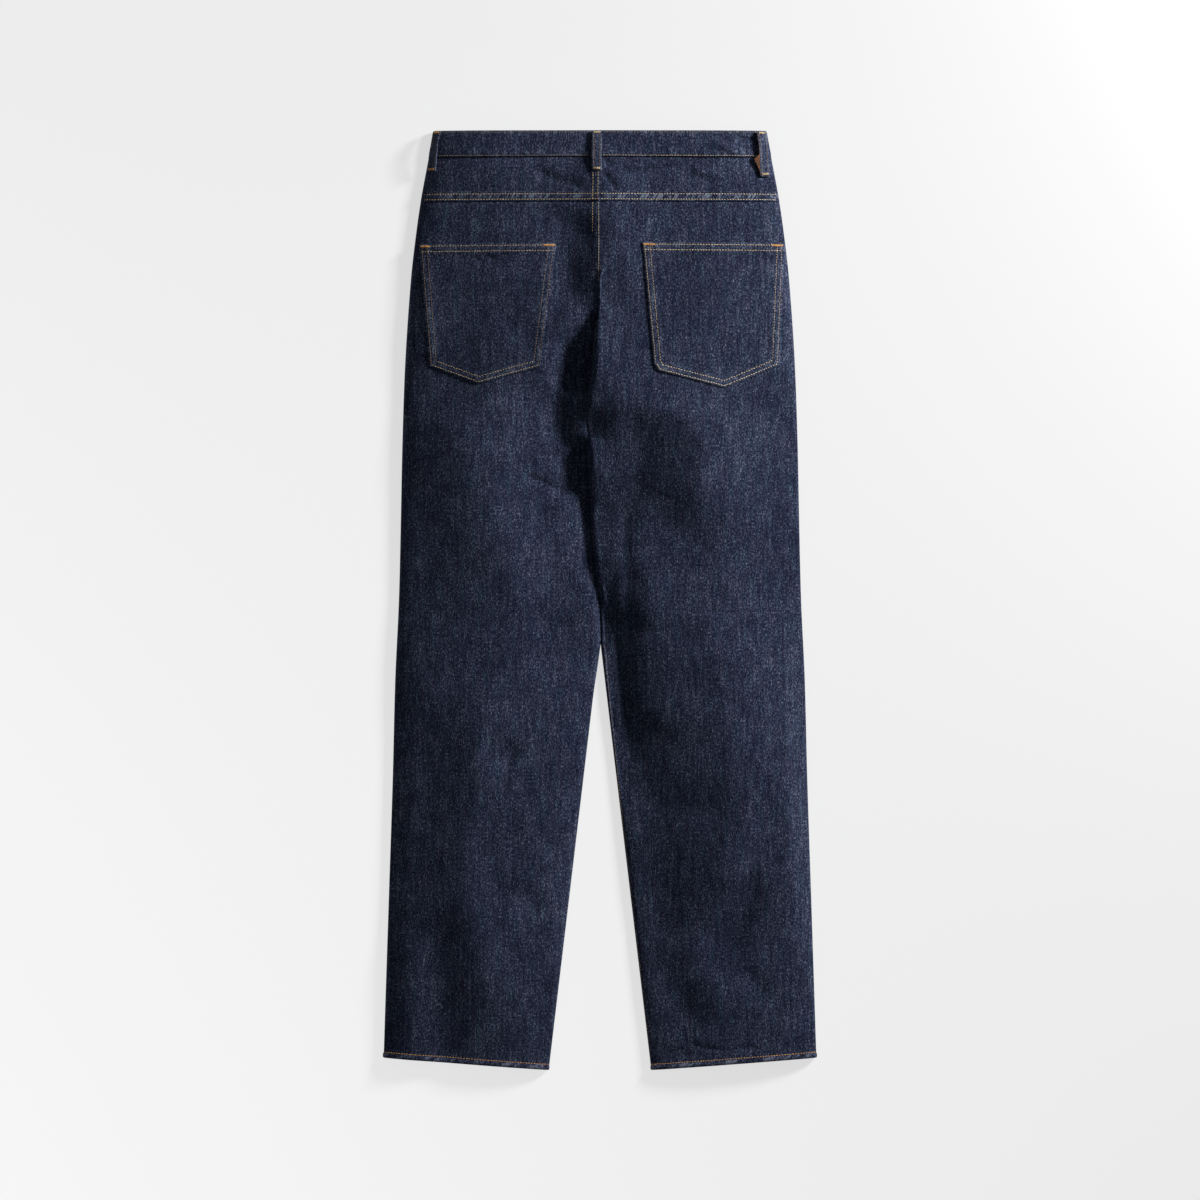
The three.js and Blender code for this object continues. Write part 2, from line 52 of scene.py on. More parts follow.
LENGTH = 1070
CLOTH = 1.2
BAND_CLOTH = 2.4
GAP = 0.3
BAND_DEEP = 30
YOKE_SEAM = 76
CROTCH = 425
LEGS_PART = 583
LEG_SPREAD = 0.119
INSEAM_GAP = 0.5
HEM_OUTER = 1056
HEM_SLOPE = 14
HEM_TILT_FROM = 850
SEAM_HEIGHT = 3.2
ARCH_REACH = 112
ARCH_POWER = 2.5
LIP_POWER = 7
LIP_REACH = 9
LOOP_WIDE = 11
LOOP_THICK = 1.6
LOOP_LONG = 46
LOOP_STAND = 2.4
FRONT_LOOP_X = 98
BACK_LOOP_X = -3.4
BUTTON_DOWN = 15
BUTTON_HEAD = 8.5
SCOOP_FROM = 112
SCOOP_DEEP = 100
SCOOP_PAST = 10

# Outline and height of the laid garment: (down, half width, height).
SECTIONS = [
    (0, 189.5, 17), (32, 195.5, 18), (78, 204, 20), (124, 210.5, 21.5), (169, 215.5, 22.5),
    (260, 221.8, 24), (351, 225.1, 24), (443, 227, 22), (534, 229.2, 20), (625, 233.4, 18),
    (739, 236.3, 17), (876, 240.8, 16), (1056, 246.6, 14), (1070, 246.6, 14),
]

# The right back panel folds over the seat seam: (down, x of its lip, how far it laps the seam).
SEAT_FOLD = [
    (150, 0, 0), (203, -1.6, 1.6), (237, -7, 6), (272, -9, 7), (331, -18.5, 8), (358, -15.2, 8),
    (405, -11.4, 8), (466, -9.5, 7.5), (505, -5.5, 5.5), (537, -2.3, 2.3), (584, 0, 0),
]

# Back pockets: down of the mouth at its left and right, x of each edge at the mouth and the foot,
# and the (x, down) corners of the foot.
POCKETS = {
    LEFT: {"top": (130, 129), "left": (-205, -193.5), "right": (-50.5, -68.5),
           "foot": [(-193.5, 268), (-138.5, 288), (-68.5, 269)]},
    RIGHT: {"top": (128.2, 128.7), "left": (48.5, 61.5), "right": (209, 203.5),
            "foot": [(61.5, 266), (67, 274), (141.8, 293), (203.5, 267)]},
}

# ---------------------------------------------------------------- sizes of the looks alone

# Broad ridges (rise above 0) and hollows of the back: (x, down, x, down, width, rise).
FOLDS = [
    # seat: a broad crown, lower at both hips, and a ledge under the waistband
    (10, 84, 10, 300, 80, 3.5), (-170, 110, -170, 300, 45, -5), (175, 110, 180, 330, 45, -3),
    (-150, 44, 150, 44, 22, 1.5), (2, 60, 2, 140, 40, 6),
    # left thigh and leg
    (-215, 300, -212, 520, 40, -4), (-72, 300, -68, 560, 32, -4), (-42, 450, -42, 590, 40, -6),
    (-215, 700, -215, 850, 46, -4), (-60, 640, -60, 860, 50, 2), (-222, 940, -222, 1050, 24, 4),
    (-186, 930, -176, 1050, 26, -4),
    # right seat and thigh
    (32, 345, 38, 402, 30, -4), (60, 450, 70, 490, 40, -2), (218, 330, 222, 630, 48, -9),
    # right leg
    (46, 700, 60, 900, 34, -6), (60, 765, 120, 770, 26, -2), (55, 665, 120, 670, 24, 2),
    (195, 790, 122, 945, 18, -4), (232, 690, 236, 1000, 30, 3),
    (122, 950, 128, 985, 24, 4), (75, 960, 90, 1000, 22, -4),
]

# Creases: points along each, widths to the left and right of its line, rise, and how pointed
# it is where that is not SOFT.
SOFT = 2.0
CREASES = [
    # beside the seat seam, on the left
    ([(-16, 90), (-23, 120), (-35, 140), (-38, 160), (-36, 180), (-26, 206)], 34, 25, -6.5),
    ([(-66, 96), (-62, 150), (-70, 205), (-76, 240)], 16, 16, 2),
    ([(-52, 212), (-30, 219), (-12, 224)], 12, 12, 2.5),
    ([(-30, 234), (-40, 262), (-36, 300)], 22, 26, -6),
    ([(-46, 288), (-51, 318), (-49, 345), (-44, 368)], 28, 15, -6),
    ([(-16, 288), (-15, 325), (-15, 364)], 24, 12, 17),
    ([(-36, 362), (-42, 388), (-34, 420)], 30, 22, -6),
    # left thigh and leg
    ([(-168, 290), (-160, 330), (-150, 370), (-118, 454), (-70, 534), (-30, 560)], 46, 40, 5),
    ([(-112, 600), (-134, 720), (-154, 820), (-152, 880), (-134, 950), (-104, 1050)], 58, 50, 11, 1.4),
    ([(-135, 850), (-100, 872), (-60, 880)], 16, 16, -3),
    # right seat and thigh
    ([(-40, 300), (18, 312), (64, 316), (101, 330), (119, 359), (118, 394), (105, 428), (88, 462)],
     48, 64, 11.5, 1.4),
    ([(10, 478), (44, 488), (56, 515), (50, 570)], 38, 50, 5.5, 1.3),
    # right leg
    ([(4, 380), (4, 460), (4, 530), (6, 600), (10, 690), (20, 800)], 5, 34, -11),
    ([(126, 540), (142, 640), (149, 750), (153, 840), (156, 930)], 58, 190, 10.5, 1.4),
    ([(176.6, 841), (171, 876), (154, 921), (131, 938)], 12, 12, -2.4),
    ([(65, 547), (140, 548.5), (222, 547)], 2.4, 2.4, -0.8),
    # small creases: band and yoke, left pocket, thigh and knee, and over the hems
    ([(1, 31), (11, 42), (28, 38), (44, 34)], 3, 5, -3.0),
    ([(26, 38), (36, 41), (48, 40)], 3, 3, 1.8),
    ([(1, 46), (10, 58), (20, 70)], 3, 5, -2.2),
    ([(150, 7), (164, 10), (184, 9)], 3, 4, -2.4),
    ([(118, 12), (138, 17), (152, 23), (172, 29)], 5, 4, 2.6, 1.6),
    ([(14, 52), (70, 44), (142, 30)], 8, 5, -2.8, 1.7),
    ([(102, 42), (120, 49), (142, 52)], 4, 4, 1.9, 1.7),
    ([(-158, 24), (-124, 26), (-90, 20)], 6, 6, 1.6, 1.8),
    ([(-76, 44), (-48, 58), (-14, 64)], 6, 6, -1.8, 1.8),
    ([(-146, 144), (-134, 149.5), (-129, 143), (-116, 149)], 3.0, 3.0, -1.4),
    ([(-90, 391), (-64, 401), (-42, 411)], 5, 4, -2.6),
    ([(-138, 698), (-114, 706), (-94, 720)], 20, 18, -4.6),
    ([(156, 950), (176, 972), (196, 994)], 12, 12, -2.4),
    ([(96, 1040), (112, 1042.5), (130, 1046), (146, 1048)], 3.2, 3.0, -1.4),
    ([(150, 1048), (164, 1045), (184, 1045)], 3.0, 2.8, -1.5),
    ([(60, 1046), (100, 1052), (140, 1050)], 8, 6, -1.0),
]

# Height added to the crest of the fold over the seat seam: (down, rise).
NOSE_RISE = [
    (138, 1), (175, 1.5), (205, 2.0), (240, 4.5), (270, 3.0), (300, -3), (320, -5.5), (345, -5.5),
    (362, 0), (390, 3.0), (430, -3), (460, -3), (500, -4), (530, -6), (560, -7), (590, -6),
]
NOSE_ANGLES = np.radians(np.linspace(-90, 90, 25))
NOSE_REACH = 17
CREST_REACH = 34

# Least height over the floor of the front panels, and of the stitches and hems under them.
FRONT_CLEAR = 0.35
FLOOR_CLEAR = 0.02

# How far in from a panel's edge its outermost points lie, and the rows of points down each cloth.
EDGE_STEPS = np.array([0, 0.25, 0.7, 1.4, 2.4, 3.8, 5.6, 7.8, 10.4, 13.4])
BACK_ROWS = np.concatenate([
    np.linspace(YOKE_SEAM - 3, 132, 26), np.linspace(134.5, HEM_OUTER - 9, 352),
    np.linspace(HEM_OUTER - 7.5, HEM_OUTER - 1.5, 5),
])
YOKE_ROWS = np.concatenate([
    np.linspace(BAND_DEEP - 3, 68, 22), np.linspace(69, 80.4, 20), [80.7],
])
FRONT_ROWS = np.concatenate([
    np.linspace(BAND_DEEP - 2.5, 134, 62), np.linspace(137, HEM_OUTER - 9, 205),
    np.linspace(HEM_OUTER - 7.5, HEM_OUTER - 1.5, 4),
])
BAND_ROWS = np.array([
    0, 0.1, 0.35, 0.8, 1.3, 1.9, 2.6, 3.6, 5, 7, 9, 11, 13, 15, 17, 19, 21, 23, 25, 26.4, 27.4, 28.2,
    28.9, 29.4, 29.8, 30.0,
])
POCKET_STEPS = np.array([0, 0.35, 0.8, 1.3, 1.9, 2.6, 3.6, 4.8, 6.2, 7.4, 8.8, 10.2]) / 150

# Where rows of stitches run: how far in from an edge or from the centre, or how far down.
POCKET_SEWN = (1.8, 7.4)
MOUTH_SEWN = (1.9, 8.1)
YOKE_SEWN = (72.5, 78.7)
SCOOP_SEWN = (1.9, 7.6)
FLY_SEWN = (32.0, 38.0)
RISE_SEWN = (2.2, 8.0)
BAND_TOP_SEWN = 1.9
BAND_FOOT_SEWN = 28.7
FRONT_FOOT_SEWN = 28.2
HEM_SEWN = -6.4

# ---------------------------------------------------------------- small functions


def mix(a, b, share):
    return a + (b - a) * share


def ease(value, start, end):
    """0 before start, 1 after end, and a smooth step between them."""
    share = np.clip((value - start) / (end - start), 0, 1)
    return share * share * (3 - 2 * share)


def bell(off, width):
    """1 where off is 0, fading smoothly to 0 on both sides."""
    return np.exp(-((off / width) ** 2))


def twin(off, first, second, width):
    """Where a pair of stitch rows holds the cloth down."""
    return bell(off - first, width) + bell(off - second, width)


def shares(count):
    return np.linspace(0, 1, count)


def beside(*parts):
    """Parts of a row of points, joined side by side."""
    return np.concatenate(parts, axis=-1)


def reaches(path):
    """How far along a path each of its points lies."""
    steps = np.linalg.norm(np.diff(path, axis=0), axis=1)
    return np.concatenate([[0], np.cumsum(steps)])


def unit(vectors):
    return vectors / np.maximum(np.linalg.norm(vectors, axis=-1, keepdims=True), 1e-9)


def named(word, side):
    return f"{word}_{SIDE_NAMES[side]}"


def along(table, column, down):
    """A smooth curve through one column of a table, held level past its two ends."""
    rows = np.array(table, float)
    at, value = rows[:, 0], rows[:, column]
    last = len(at) - 1
    held = np.clip(down, at[0], at[last])
    after = np.clip(np.searchsorted(at, held, side="right"), 1, last)
    before = after - 1
    span = at[after] - at[before]
    t = (held - at[before]) / span
    far_before, far_after = np.maximum(before - 1, 0), np.minimum(after + 1, last)
    start = (value[after] - value[far_before]) / (at[after] - at[far_before]) * span
    end = (value[far_after] - value[before]) / (at[far_after] - at[before]) * span
    return (
        (2 * t**3 - 3 * t**2 + 1) * value[before] + (t**3 - 2 * t**2 + t) * start
        + (3 * t**2 - 2 * t**3) * value[after] + (t**3 - t**2) * end
    )


def arch(inward, reach=ARCH_REACH):
    """Rise of a rounded edge of cloth: steep at the edge, level once reach is passed."""
    return np.sqrt(1 - (1 - np.clip(inward / reach, 0, 1)) ** ARCH_POWER)


def lattice_noise(x, y, size, seed):
    """Smooth noise from -1 to 1, with a new value every size millimetres."""
    values = np.random.default_rng(seed).uniform(-1, 1, (64, 64))
    u, v = np.asarray(x / size + 31.3), np.asarray(y / size + 17.7)
    i, j = np.floor(u).astype(int), np.floor(v).astype(int)
    s, t = u - i, v - j
    s, t = s * s * (3 - 2 * s), t * t * (3 - 2 * t)
    i, j, k, m = i % 64, j % 64, (i + 1) % 64, (j + 1) % 64
    near = mix(values[i, j], values[k, j], s)
    return mix(near, mix(values[i, m], values[k, m], s), t)


# ---------------------------------------------------------------- outline of the panels


def side_edge(side, down):
    return side * along(SECTIONS, 1, down)


def from_side(side, x, down, wall=0.0):
    """Distance in from the side seam, from the wall's own edge when it is given."""
    return np.maximum(side * (side_edge(side, down) - x) - wall / 2, 0)


def seat_seam(down):
    return along(SEAT_FOLD, 1, down) + along(SEAT_FOLD, 2, down)


def inner_lip_share(down):
    return ease(down, CROTCH - 25, CROTCH)


def leg_gap(down):
    joined = mix(GAP / 2, INSEAM_GAP, inner_lip_share(down))
    return joined + LEG_SPREAD * np.maximum(down - LEGS_PART, 0)


def inseam_step(down):
    """Where the legs touch, the back inseam lies a little to the right of the front one."""
    return 1.3 * ease(down, 430, 470) * (1 - ease(down, 588, 650))


def back_inner_edge(side, down):
    return seat_seam(down) + inseam_step(down) + side * leg_gap(down)


def front_inner_edge(side, down):
    return seat_seam(down) * ease(down, CROTCH - 65, CROTCH) + side * leg_gap(down)


def hem_tilt(down, share):
    """The hems slope down towards the inseams."""
    return down + HEM_SLOPE * share * ease(down, HEM_TILT_FROM, HEM_OUTER)


def leg_share(down):
    """0 where the back panels butt flat at the centre, 1 where they stand up at an inseam."""
    return ease(down, 540, 600)


def fold_share(down):
    """How far the right back panel rolls over the seat seam."""
    return ease(down, 132, 172) * (1 - ease(down, 500, 590))


# ---------------------------------------------------------------- height of the back


def fold_height(x, down):
    height = 0
    for x0, down0, x1, down1, width, rise in FOLDS:
        run_x, run_down = x1 - x0, down1 - down0
        t = ((x - x0) * run_x + (down - down0) * run_down) / (run_x**2 + run_down**2)
        t = np.clip(t, 0, 1)
        off = (x - x0 - t * run_x) ** 2 + (down - down0 - t * run_down) ** 2
        height = height + rise * np.exp(-off / width**2)
    return height


def crease_height(x, down):
    """Sum of the creases: soft troughs and ridges along bent lines that fade at both ends."""
    total = np.zeros(np.broadcast(x, down).shape)
    for points, left, right, rise, *pointed in CREASES:
        at = np.array(points, float)
        starts = reaches(at)
        best = np.full(total.shape, np.inf)
        share = np.zeros(total.shape)
        across = np.zeros(total.shape)
        for k, step in enumerate(np.linalg.norm(np.diff(at, axis=0), axis=1)):
            run = (at[k + 1] - at[k]) / step
            reach = np.clip((x - at[k, 0]) * run[0] + (down - at[k, 1]) * run[1], 0, step)
            off_x, off_down = x - at[k, 0] - reach * run[0], down - at[k, 1] - reach * run[1]
            off = off_x**2 + off_down**2
            nearer = off < best
            best = np.where(nearer, off, best)
            share = np.where(nearer, (starts[k] + reach) / starts[-1], share)
            across = np.where(nearer, off_x * run[1] - off_down * run[0], across)
        fade = ease(share, -0.02, 0.24) * (1 - ease(share, 0.76, 1.02))
        flank = np.where(across > 0, right, left)
        power = pointed[0] if pointed else SOFT
        total += rise * fade * np.exp(-((best / flank**2) ** (power / 2)))
    return total


def smooth_back_height(side, x, down):
    """Middle of the back's cloth without creases: a crown, sunk at the seat seam or the inseam."""
    tall = along(SECTIONS, 2, down) + fold_height(x, down)
    rounded = arch(from_side(side, x, down, CLOTH))
    crown = SEAM_HEIGHT + GAP / 2 + (tall - SEAM_HEIGHT) * rounded
    inward = side * (x - back_inner_edge(side, down)) - CLOTH / 2 * leg_share(down)
    inward = np.maximum(inward, 0)
    as_leg = ease(down, 430, 540) if side == LEFT else ease(down, 490, 620)
    valley = ease(inward, 3, 60) if side == LEFT else arch(inward, 30)
    sunk = ease(down, 186, 262) * (1 - mix(valley, arch(inward), as_leg))
    low = SEAM_HEIGHT + mix(CLOTH / 2 + GAP / 2, GAP / 2, as_leg)
    return mix(crown, low, sunk)


def back_height(side, x, down):
    """Middle of the back's cloth as it is seen, with creases and a slight unevenness."""
    height = smooth_back_height(side, x, down)
    inward = from_side(side, x, down)
    from_seam = np.maximum(side * (x - back_inner_edge(side, down)), 0)
    held = ease(inward, 1, 26) * mix(1, ease(from_seam, 0, 6), ease(down, 120, 220))
    above_front = ease(height, 4, 11)
    uneven = (
        0.55 * lattice_noise(x, down * 0.7, 46, 1) + 0.32 * lattice_noise(x, down * 0.6, 21, 2)
        + 0.13 * lattice_noise(x, down * 0.55, 9, 3)
    )
    detail = crease_height(x, down) + uneven * ease(down, 0, 40)
    height = height + detail * held * np.where(detail < 0, mix(above_front, 1, 0.25), 1)
    return np.maximum(height, SEAM_HEIGHT + GAP / 2)


def seat_ridge(side, x, down):
    """Felled seat seam: a strip beside the centre, on the left panel, held by twin rows."""
    if side == RIGHT:
        return 0
    seam = -seat_seam(down) - x
    strip = ease(seam, 0.2, 1.2) * (1 - ease(seam, 9.6, 11.4))
    puckers = 0.16 * lattice_noise(down * 1.0, seam * 0.6, 5.0, 11)
    return (0.9 - 0.35 * twin(seam, 2.2, 8.2, 1) + puckers) * strip * (1 - fold_share(down))


def yoke_pucker(x, below):
    """Slanted puckers along the felled yoke seam, stronger on the right."""
    stronger = mix(0.7, 1.3, ease(x, -20, 60))
    return stronger * lattice_noise(x + 0.7 * below, below * 0.15, 2.3, 12) * bell(below - 3, 3.5)


def yoke_ridge(x, down):
    """Felled yoke seam: the yoke laps the back panels, with puckers between its twin rows."""
    below = down - YOKE_SEWN[0]
    strip = ease(below, -3.0, -1.4) * (1 - ease(below, 7.6, 8.2))
    return (0.9 - 0.5 * twin(below, 0, 6.2, 0.9) + 0.42 * yoke_pucker(x, below)) * strip


def fold_level(past, down):
    """Height on the fold over the seat seam, past millimetres from it: from crest to level."""
    beyond = back_height(RIGHT, back_inner_edge(RIGHT, down) + CREST_REACH, down)
    crest = beyond - 1.2 + along(NOSE_RISE, 1, down)
    return mix(crest, beyond, ease(past, -8, CREST_REACH))


def nose_points(rows):
    """x and z of the right back panel's rolled edge, from under the fold to its crest."""
    share = fold_share(rows)
    seam = back_inner_edge(RIGHT, rows) + CLOTH / 2 * leg_share(rows)
    lap = along(SEAT_FOLD, 2, rows) + leg_gap(rows)
    low = back_height(LEFT, back_inner_edge(LEFT, rows), rows) + CLOTH + GAP
    top = np.maximum(fold_level(0, rows), low + 1)
    t = (np.degrees(NOSE_ANGLES) + 90) / 180
    flat_x = seam + NOSE_REACH * t**1.9
    flat_z = back_height(RIGHT, flat_x, rows)
    rolled_x = seam - lap * np.cos(NOSE_ANGLES)
    rolled_z = mix(low, top, (1 + np.sin(NOSE_ANGLES)) / 2)
    return mix(flat_x, rolled_x, share), mix(flat_z, rolled_z, share)


def right_field_height(x, down):
    """The right panel's height: near the seam it runs level to the crest of its fold."""
    past = x - back_inner_edge(RIGHT, down)
    level = fold_level(np.maximum(past, 0), down)
    near = 1 - ease(past, CREST_REACH - 14, CREST_REACH)
    return mix(back_height(RIGHT, x, down), level, fold_share(down) * near)


# ---------------------------------------------------------------- height of the front


def front_lift(x, down):
    """The front rises over the waist button and the two front belt loops."""
    off = np.abs(np.abs(x) - FRONT_LOOP_X)
    over_loop = (1 - ease(off, LOOP_WIDE / 2 + 3, 27)) * (1 - ease(down, 49, 74))
    over_button = (1 - ease(np.abs(x), BUTTON_HEAD + 3, 46)) * (1 - ease(down, BAND_DEEP, 60))
    return (LOOP_THICK + 4 * GAP) * over_loop + (3 + GAP) * over_button


def lip_rise(inward):
    return np.maximum(1 - inward / LIP_REACH, 0) ** LIP_POWER


def front_height(side, x, down, wall=CLOTH):
    """Middle of the front's cloth: it rests on the floor and turns up at its seams."""
    outward = from_side(side, x, down, wall)
    inward = side * (x - front_inner_edge(side, down)) - wall / 2 * inner_lip_share(down)
    inward = np.maximum(inward, 0)
    hollow = np.maximum(lattice_noise(x, down * 0.5, 60, 21) + 0.2, 0) * 2.2
    hollow += np.maximum(lattice_noise(x, down * 0.8, 25, 22), 0) * 0.7
    inside = ease(outward, 6, 40) * ease(inward, 4, 30) * ease(down, 90, 200)
    hollow *= inside * (1 - ease(down, 1010, 1050))
    flat = wall / 2 + FRONT_CLEAR + front_lift(x, down) + hollow
    lip = np.maximum(lip_rise(outward), lip_rise(inward) * inner_lip_share(down))
    return mix(flat, SEAM_HEIGHT - GAP / 2, lip)


# ---------------------------------------------------------------- materials


def fill(tree, made, inputs):
    """Fill a node's inputs: a socket is linked, and a number or a colour is set."""
    for key, value in inputs.items():
        if isinstance(value, bpy.types.NodeSocket):
            tree.links.new(value, made.inputs[key])
        else:
            made.inputs[key].default_value = value


def node(tree, kind, inputs=None, **settings):
    made = tree.nodes.new("ShaderNode" + kind)
    for key, value in settings.items():
        setattr(made, key, value)
    fill(tree, made, inputs or {})
    return made


def scaled(tree, vector, scale, turn=0.0):
    inputs = {"Vector": vector, "Scale": scale, "Rotation": (0, 0, turn)}
    return node(tree, "Mapping", inputs).outputs["Vector"]


def noise(tree, vector, detail=2.0, roughness=0.6):
    inputs = {"Vector": vector, "Scale": 1.0, "Detail": detail, "Roughness": roughness}
    return node(tree, "TexNoise", inputs).outputs["Fac"]


def bands(tree, vector, **inputs):
    """Slanted bands, for a twill or for twisted plies."""
    inputs["Vector"] = vector
    wave = node(tree, "TexWave", inputs, wave_type="BANDS", bands_direction="DIAGONAL")
    return wave.outputs["Fac"]


def maths(tree, operation, *inputs):
    return node(tree, "Math", dict(enumerate(inputs)), operation=operation).outputs[0]


def ramp(tree, factor, stops):
    made = node(tree, "ValToRGB", {"Fac": factor})
    elements = made.color_ramp.elements
    while len(elements) < len(stops):
        elements.new(0.5)
    for element, (at, colour) in zip(elements, stops):
        element.position = at
        element.color = (*colour, 1)
    return made.outputs["Color"]


def bumps(tree, height, strength, distance):
    inputs = {"Height": height, "Strength": strength, "Distance": distance}
    return node(tree, "Bump", inputs).outputs["Normal"]


def new_material(name, roughness):
    material = bpy.data.materials.new(name)
    material.use_nodes = True
    tree = material.node_tree
    shader = tree.nodes["Principled BSDF"]
    shader.inputs["Roughness"].default_value = roughness
    return material, tree, shader


DENIM_STOPS = [
    (0.0, (0.0015, 0.0025, 0.009)), (0.30, (0.0078, 0.0102, 0.026)),
    (0.5, (0.0182, 0.0228, 0.0475)), (0.70, (0.040, 0.0505, 0.088)), (1.0, (0.126, 0.148, 0.203)),
]
INSIDE_STOPS = [
    (0.0, (0.060, 0.072, 0.100)), (0.5, (0.170, 0.190, 0.225)), (1.0, (0.400, 0.410, 0.420)),
]
# Noise in the denim: fineness across and along the warp, detail, roughness, and weight in the tone.
DENIM_NOISE = {
    "yarn": (800, 260, 2.0, 0.65, 1.25), "slub": (300, 60, 2.0, 0.6, 0.55),
    "long slub": (260, 22, 2.0, 0.6, 0.50), "fleck": (620, 480, 1.0, 0.7, 1.42),
    "blotch": (60, 40, 3.0, 0.6, 0.40), "cloud": (11, 8, 1.0, 0.5, 0.24),
}
DYE_STOPS = [(0.3, (0.86, 1.06, 1.02)), (0.5, (1, 1, 1)), (0.7, (1.12, 0.98, 0.97))]


def denim(name, stops=DENIM_STOPS, turn=0.0):
    """Indigo denim: slub streaks along the warp, weft flecks, soft blotches and a twill bump."""
    material, tree, shader = new_material(name, 0.86)
    place = node(tree, "UVMap", uv_map="cloth").outputs["UV"]
    made = {}
    total = 0.5 - 0.5 * sum(weight for *_, weight in DENIM_NOISE.values())
    for word, (across, warp, detail, roughness, weight) in DENIM_NOISE.items():
        made[word] = noise(tree, scaled(tree, place, (across, warp, 1), turn), detail, roughness)
        total = maths(tree, "MULTIPLY_ADD", made[word], weight, total)
    # The tone is lifted by a per-point attribute: partly real wear, partly a painted highlight on pucker
    # crests and folded edges.
    wear_and_highlight = node(tree, "Attribute", attribute_name="wear_and_highlight").outputs["Fac"]
    tone = maths(tree, "MULTIPLY_ADD", wear_and_highlight, 0.35, total)
    # The dye leans towards green in some slubs and towards violet in others.
    lean = noise(tree, scaled(tree, place, (150, 24, 1), turn))
    colours = {0: 1.0, 6: ramp(tree, tone, stops), 7: ramp(tree, lean, DYE_STOPS)}
    dyed = node(tree, "Mix", colours, data_type="RGBA", blend_type="MULTIPLY")
    twill = bands(tree, scaled(tree, place, (560, 560, 1), turn), Scale=0.5, Distortion=1.2, Detail=1.0)
    weave = maths(tree, "MULTIPLY_ADD", twill, 0.45, made["yarn"])
    weave = maths(tree, "MULTIPLY_ADD", made["slub"], 0.6, weave)
    fill(tree, shader, {
        "Base Color": dyed.outputs[2], "Normal": bumps(tree, weave, 0.55, 0.0005),
        "Specular IOR Level": 0.08, "Sheen Weight": 0.04, "Sheen Roughness": 0.5,
        "Sheen Tint": (0.55, 0.62, 0.85, 1),
    })
    return material


def thread(name, dark, light):
    """Cotton thread: twisted plies and slow changes of shade along a row."""
    material, tree, shader = new_material(name, 0.62)
    place = node(tree, "TexCoord").outputs["Object"]
    shade = noise(tree, scaled(tree, place, (260, 260, 260)))
    plies = bands(tree, scaled(tree, place, (900, 900, 900)), Scale=1.0)
    fill(tree, shader, {
        "Base Color": ramp(tree, shade, [(0.3, dark), (0.7, light)]),
        "Normal": bumps(tree, plies, 0.4, 0.0002), "Specular IOR Level": 0.3, "Sheen Weight": 0.2,
    })
    return material


def brass(name):
    """Aged copper-coloured button metal, darker in patches and finely scratched."""
    material, tree, shader = new_material(name, 0.38)
    place = node(tree, "TexCoord").outputs["Object"]
    patch = noise(tree, scaled(tree, place, (380, 380, 380)), 3.0)
    scratch = noise(tree, scaled(tree, place, (3000, 400, 400)))
    fill(tree, shader, {
        "Base Color": ramp(tree, patch, [(0.3, (0.16, 0.085, 0.04)), (0.7, (0.52, 0.31, 0.16))]),
        "Roughness": maths(tree, "MULTIPLY_ADD", scratch, 0.3, 0.22),
        "Normal": bumps(tree, scratch, 0.2, 0.0001), "Metallic": 1.0,
    })
    return material


OUTSIDE = denim("denim_outside")
INSIDE = denim("denim_inside", INSIDE_STOPS)
CROSSWISE = denim("denim_crosswise", turn=math.pi / 2)
GOLD = thread("thread_gold", (0.26, 0.17, 0.085), (0.56, 0.44, 0.27))
BRIGHT = thread("thread_bright_gold", (0.34, 0.23, 0.10), (0.72, 0.57, 0.33))
ORANGE = thread("thread_orange", (0.44, 0.19, 0.04), (0.68, 0.36, 0.11))
TAN = thread("thread_tan", (0.12, 0.075, 0.045), (0.27, 0.18, 0.11))
CREAM = thread("thread_cream", (0.34, 0.25, 0.15), (0.66, 0.56, 0.40))
COVERED = thread("thread_cover_stitch", (0.045, 0.022, 0.014), (0.26, 0.10, 0.04))
BRASS = brass("brass_aged")

# ---------------------------------------------------------------- meshes


def placed(x, down, z):
    """Points in millimetres in the frame's axes."""
    return np.stack(np.broadcast_arrays(x, LENGTH / 2 - down, z), axis=-1).astype(float)


def outward_normals(grid, face):
    """Normals of rows of points that run down, each row across to the right."""
    return unit(np.cross(np.gradient(grid, axis=0), np.gradient(grid, axis=1))) * face


def new_mesh(name, points, quads, materials, uv=None, wear_and_highlight=None, index=None, sharp=0):
    mesh = bpy.data.meshes.new(name)
    mesh.vertices.add(len(points))
    mesh.vertices.foreach_set("co", (np.asarray(points) * MM).astype(np.float32).ravel())
    quads = np.asarray(quads, np.int32)
    mesh.loops.add(quads.size)
    mesh.loops.foreach_set("vertex_index", quads.ravel())
    mesh.polygons.add(len(quads))
    mesh.polygons.foreach_set("loop_start", np.arange(0, quads.size, 4, dtype=np.int32))
    mesh.update(calc_edges=True)
    mesh.validate()
    if uv is not None:
        layer = mesh.uv_layers.new(name="cloth")
        layer.uv.foreach_set("vector", (uv[quads.ravel()] * MM).astype(np.float32).ravel())
    if wear_and_highlight is not None:
        attribute = mesh.attributes.new("wear_and_highlight", "FLOAT", "POINT")
        attribute.data.foreach_set("value", wear_and_highlight.astype(np.float32).ravel())
    for material in materials:
        mesh.materials.append(material)
    if index is not None:
        mesh.polygons.foreach_set("material_index", np.asarray(index, np.int32))
    mesh.shade_smooth()
    if sharp:
        mesh.set_sharp_from_angle(angle=math.radians(sharp))
    piece = bpy.data.objects.new(name, mesh)
    bpy.context.scene.collection.objects.link(piece)
    return piece


def finished(piece, *nodes, slot="denim"):
    """The piece rides with the garment's one body and may stand for CAD nodes."""
    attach(piece, "root")
    if nodes:
        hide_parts(*nodes)
    return piece


# Outer layer of each cloth and its normals, for what is sewn on it.
layers = {}


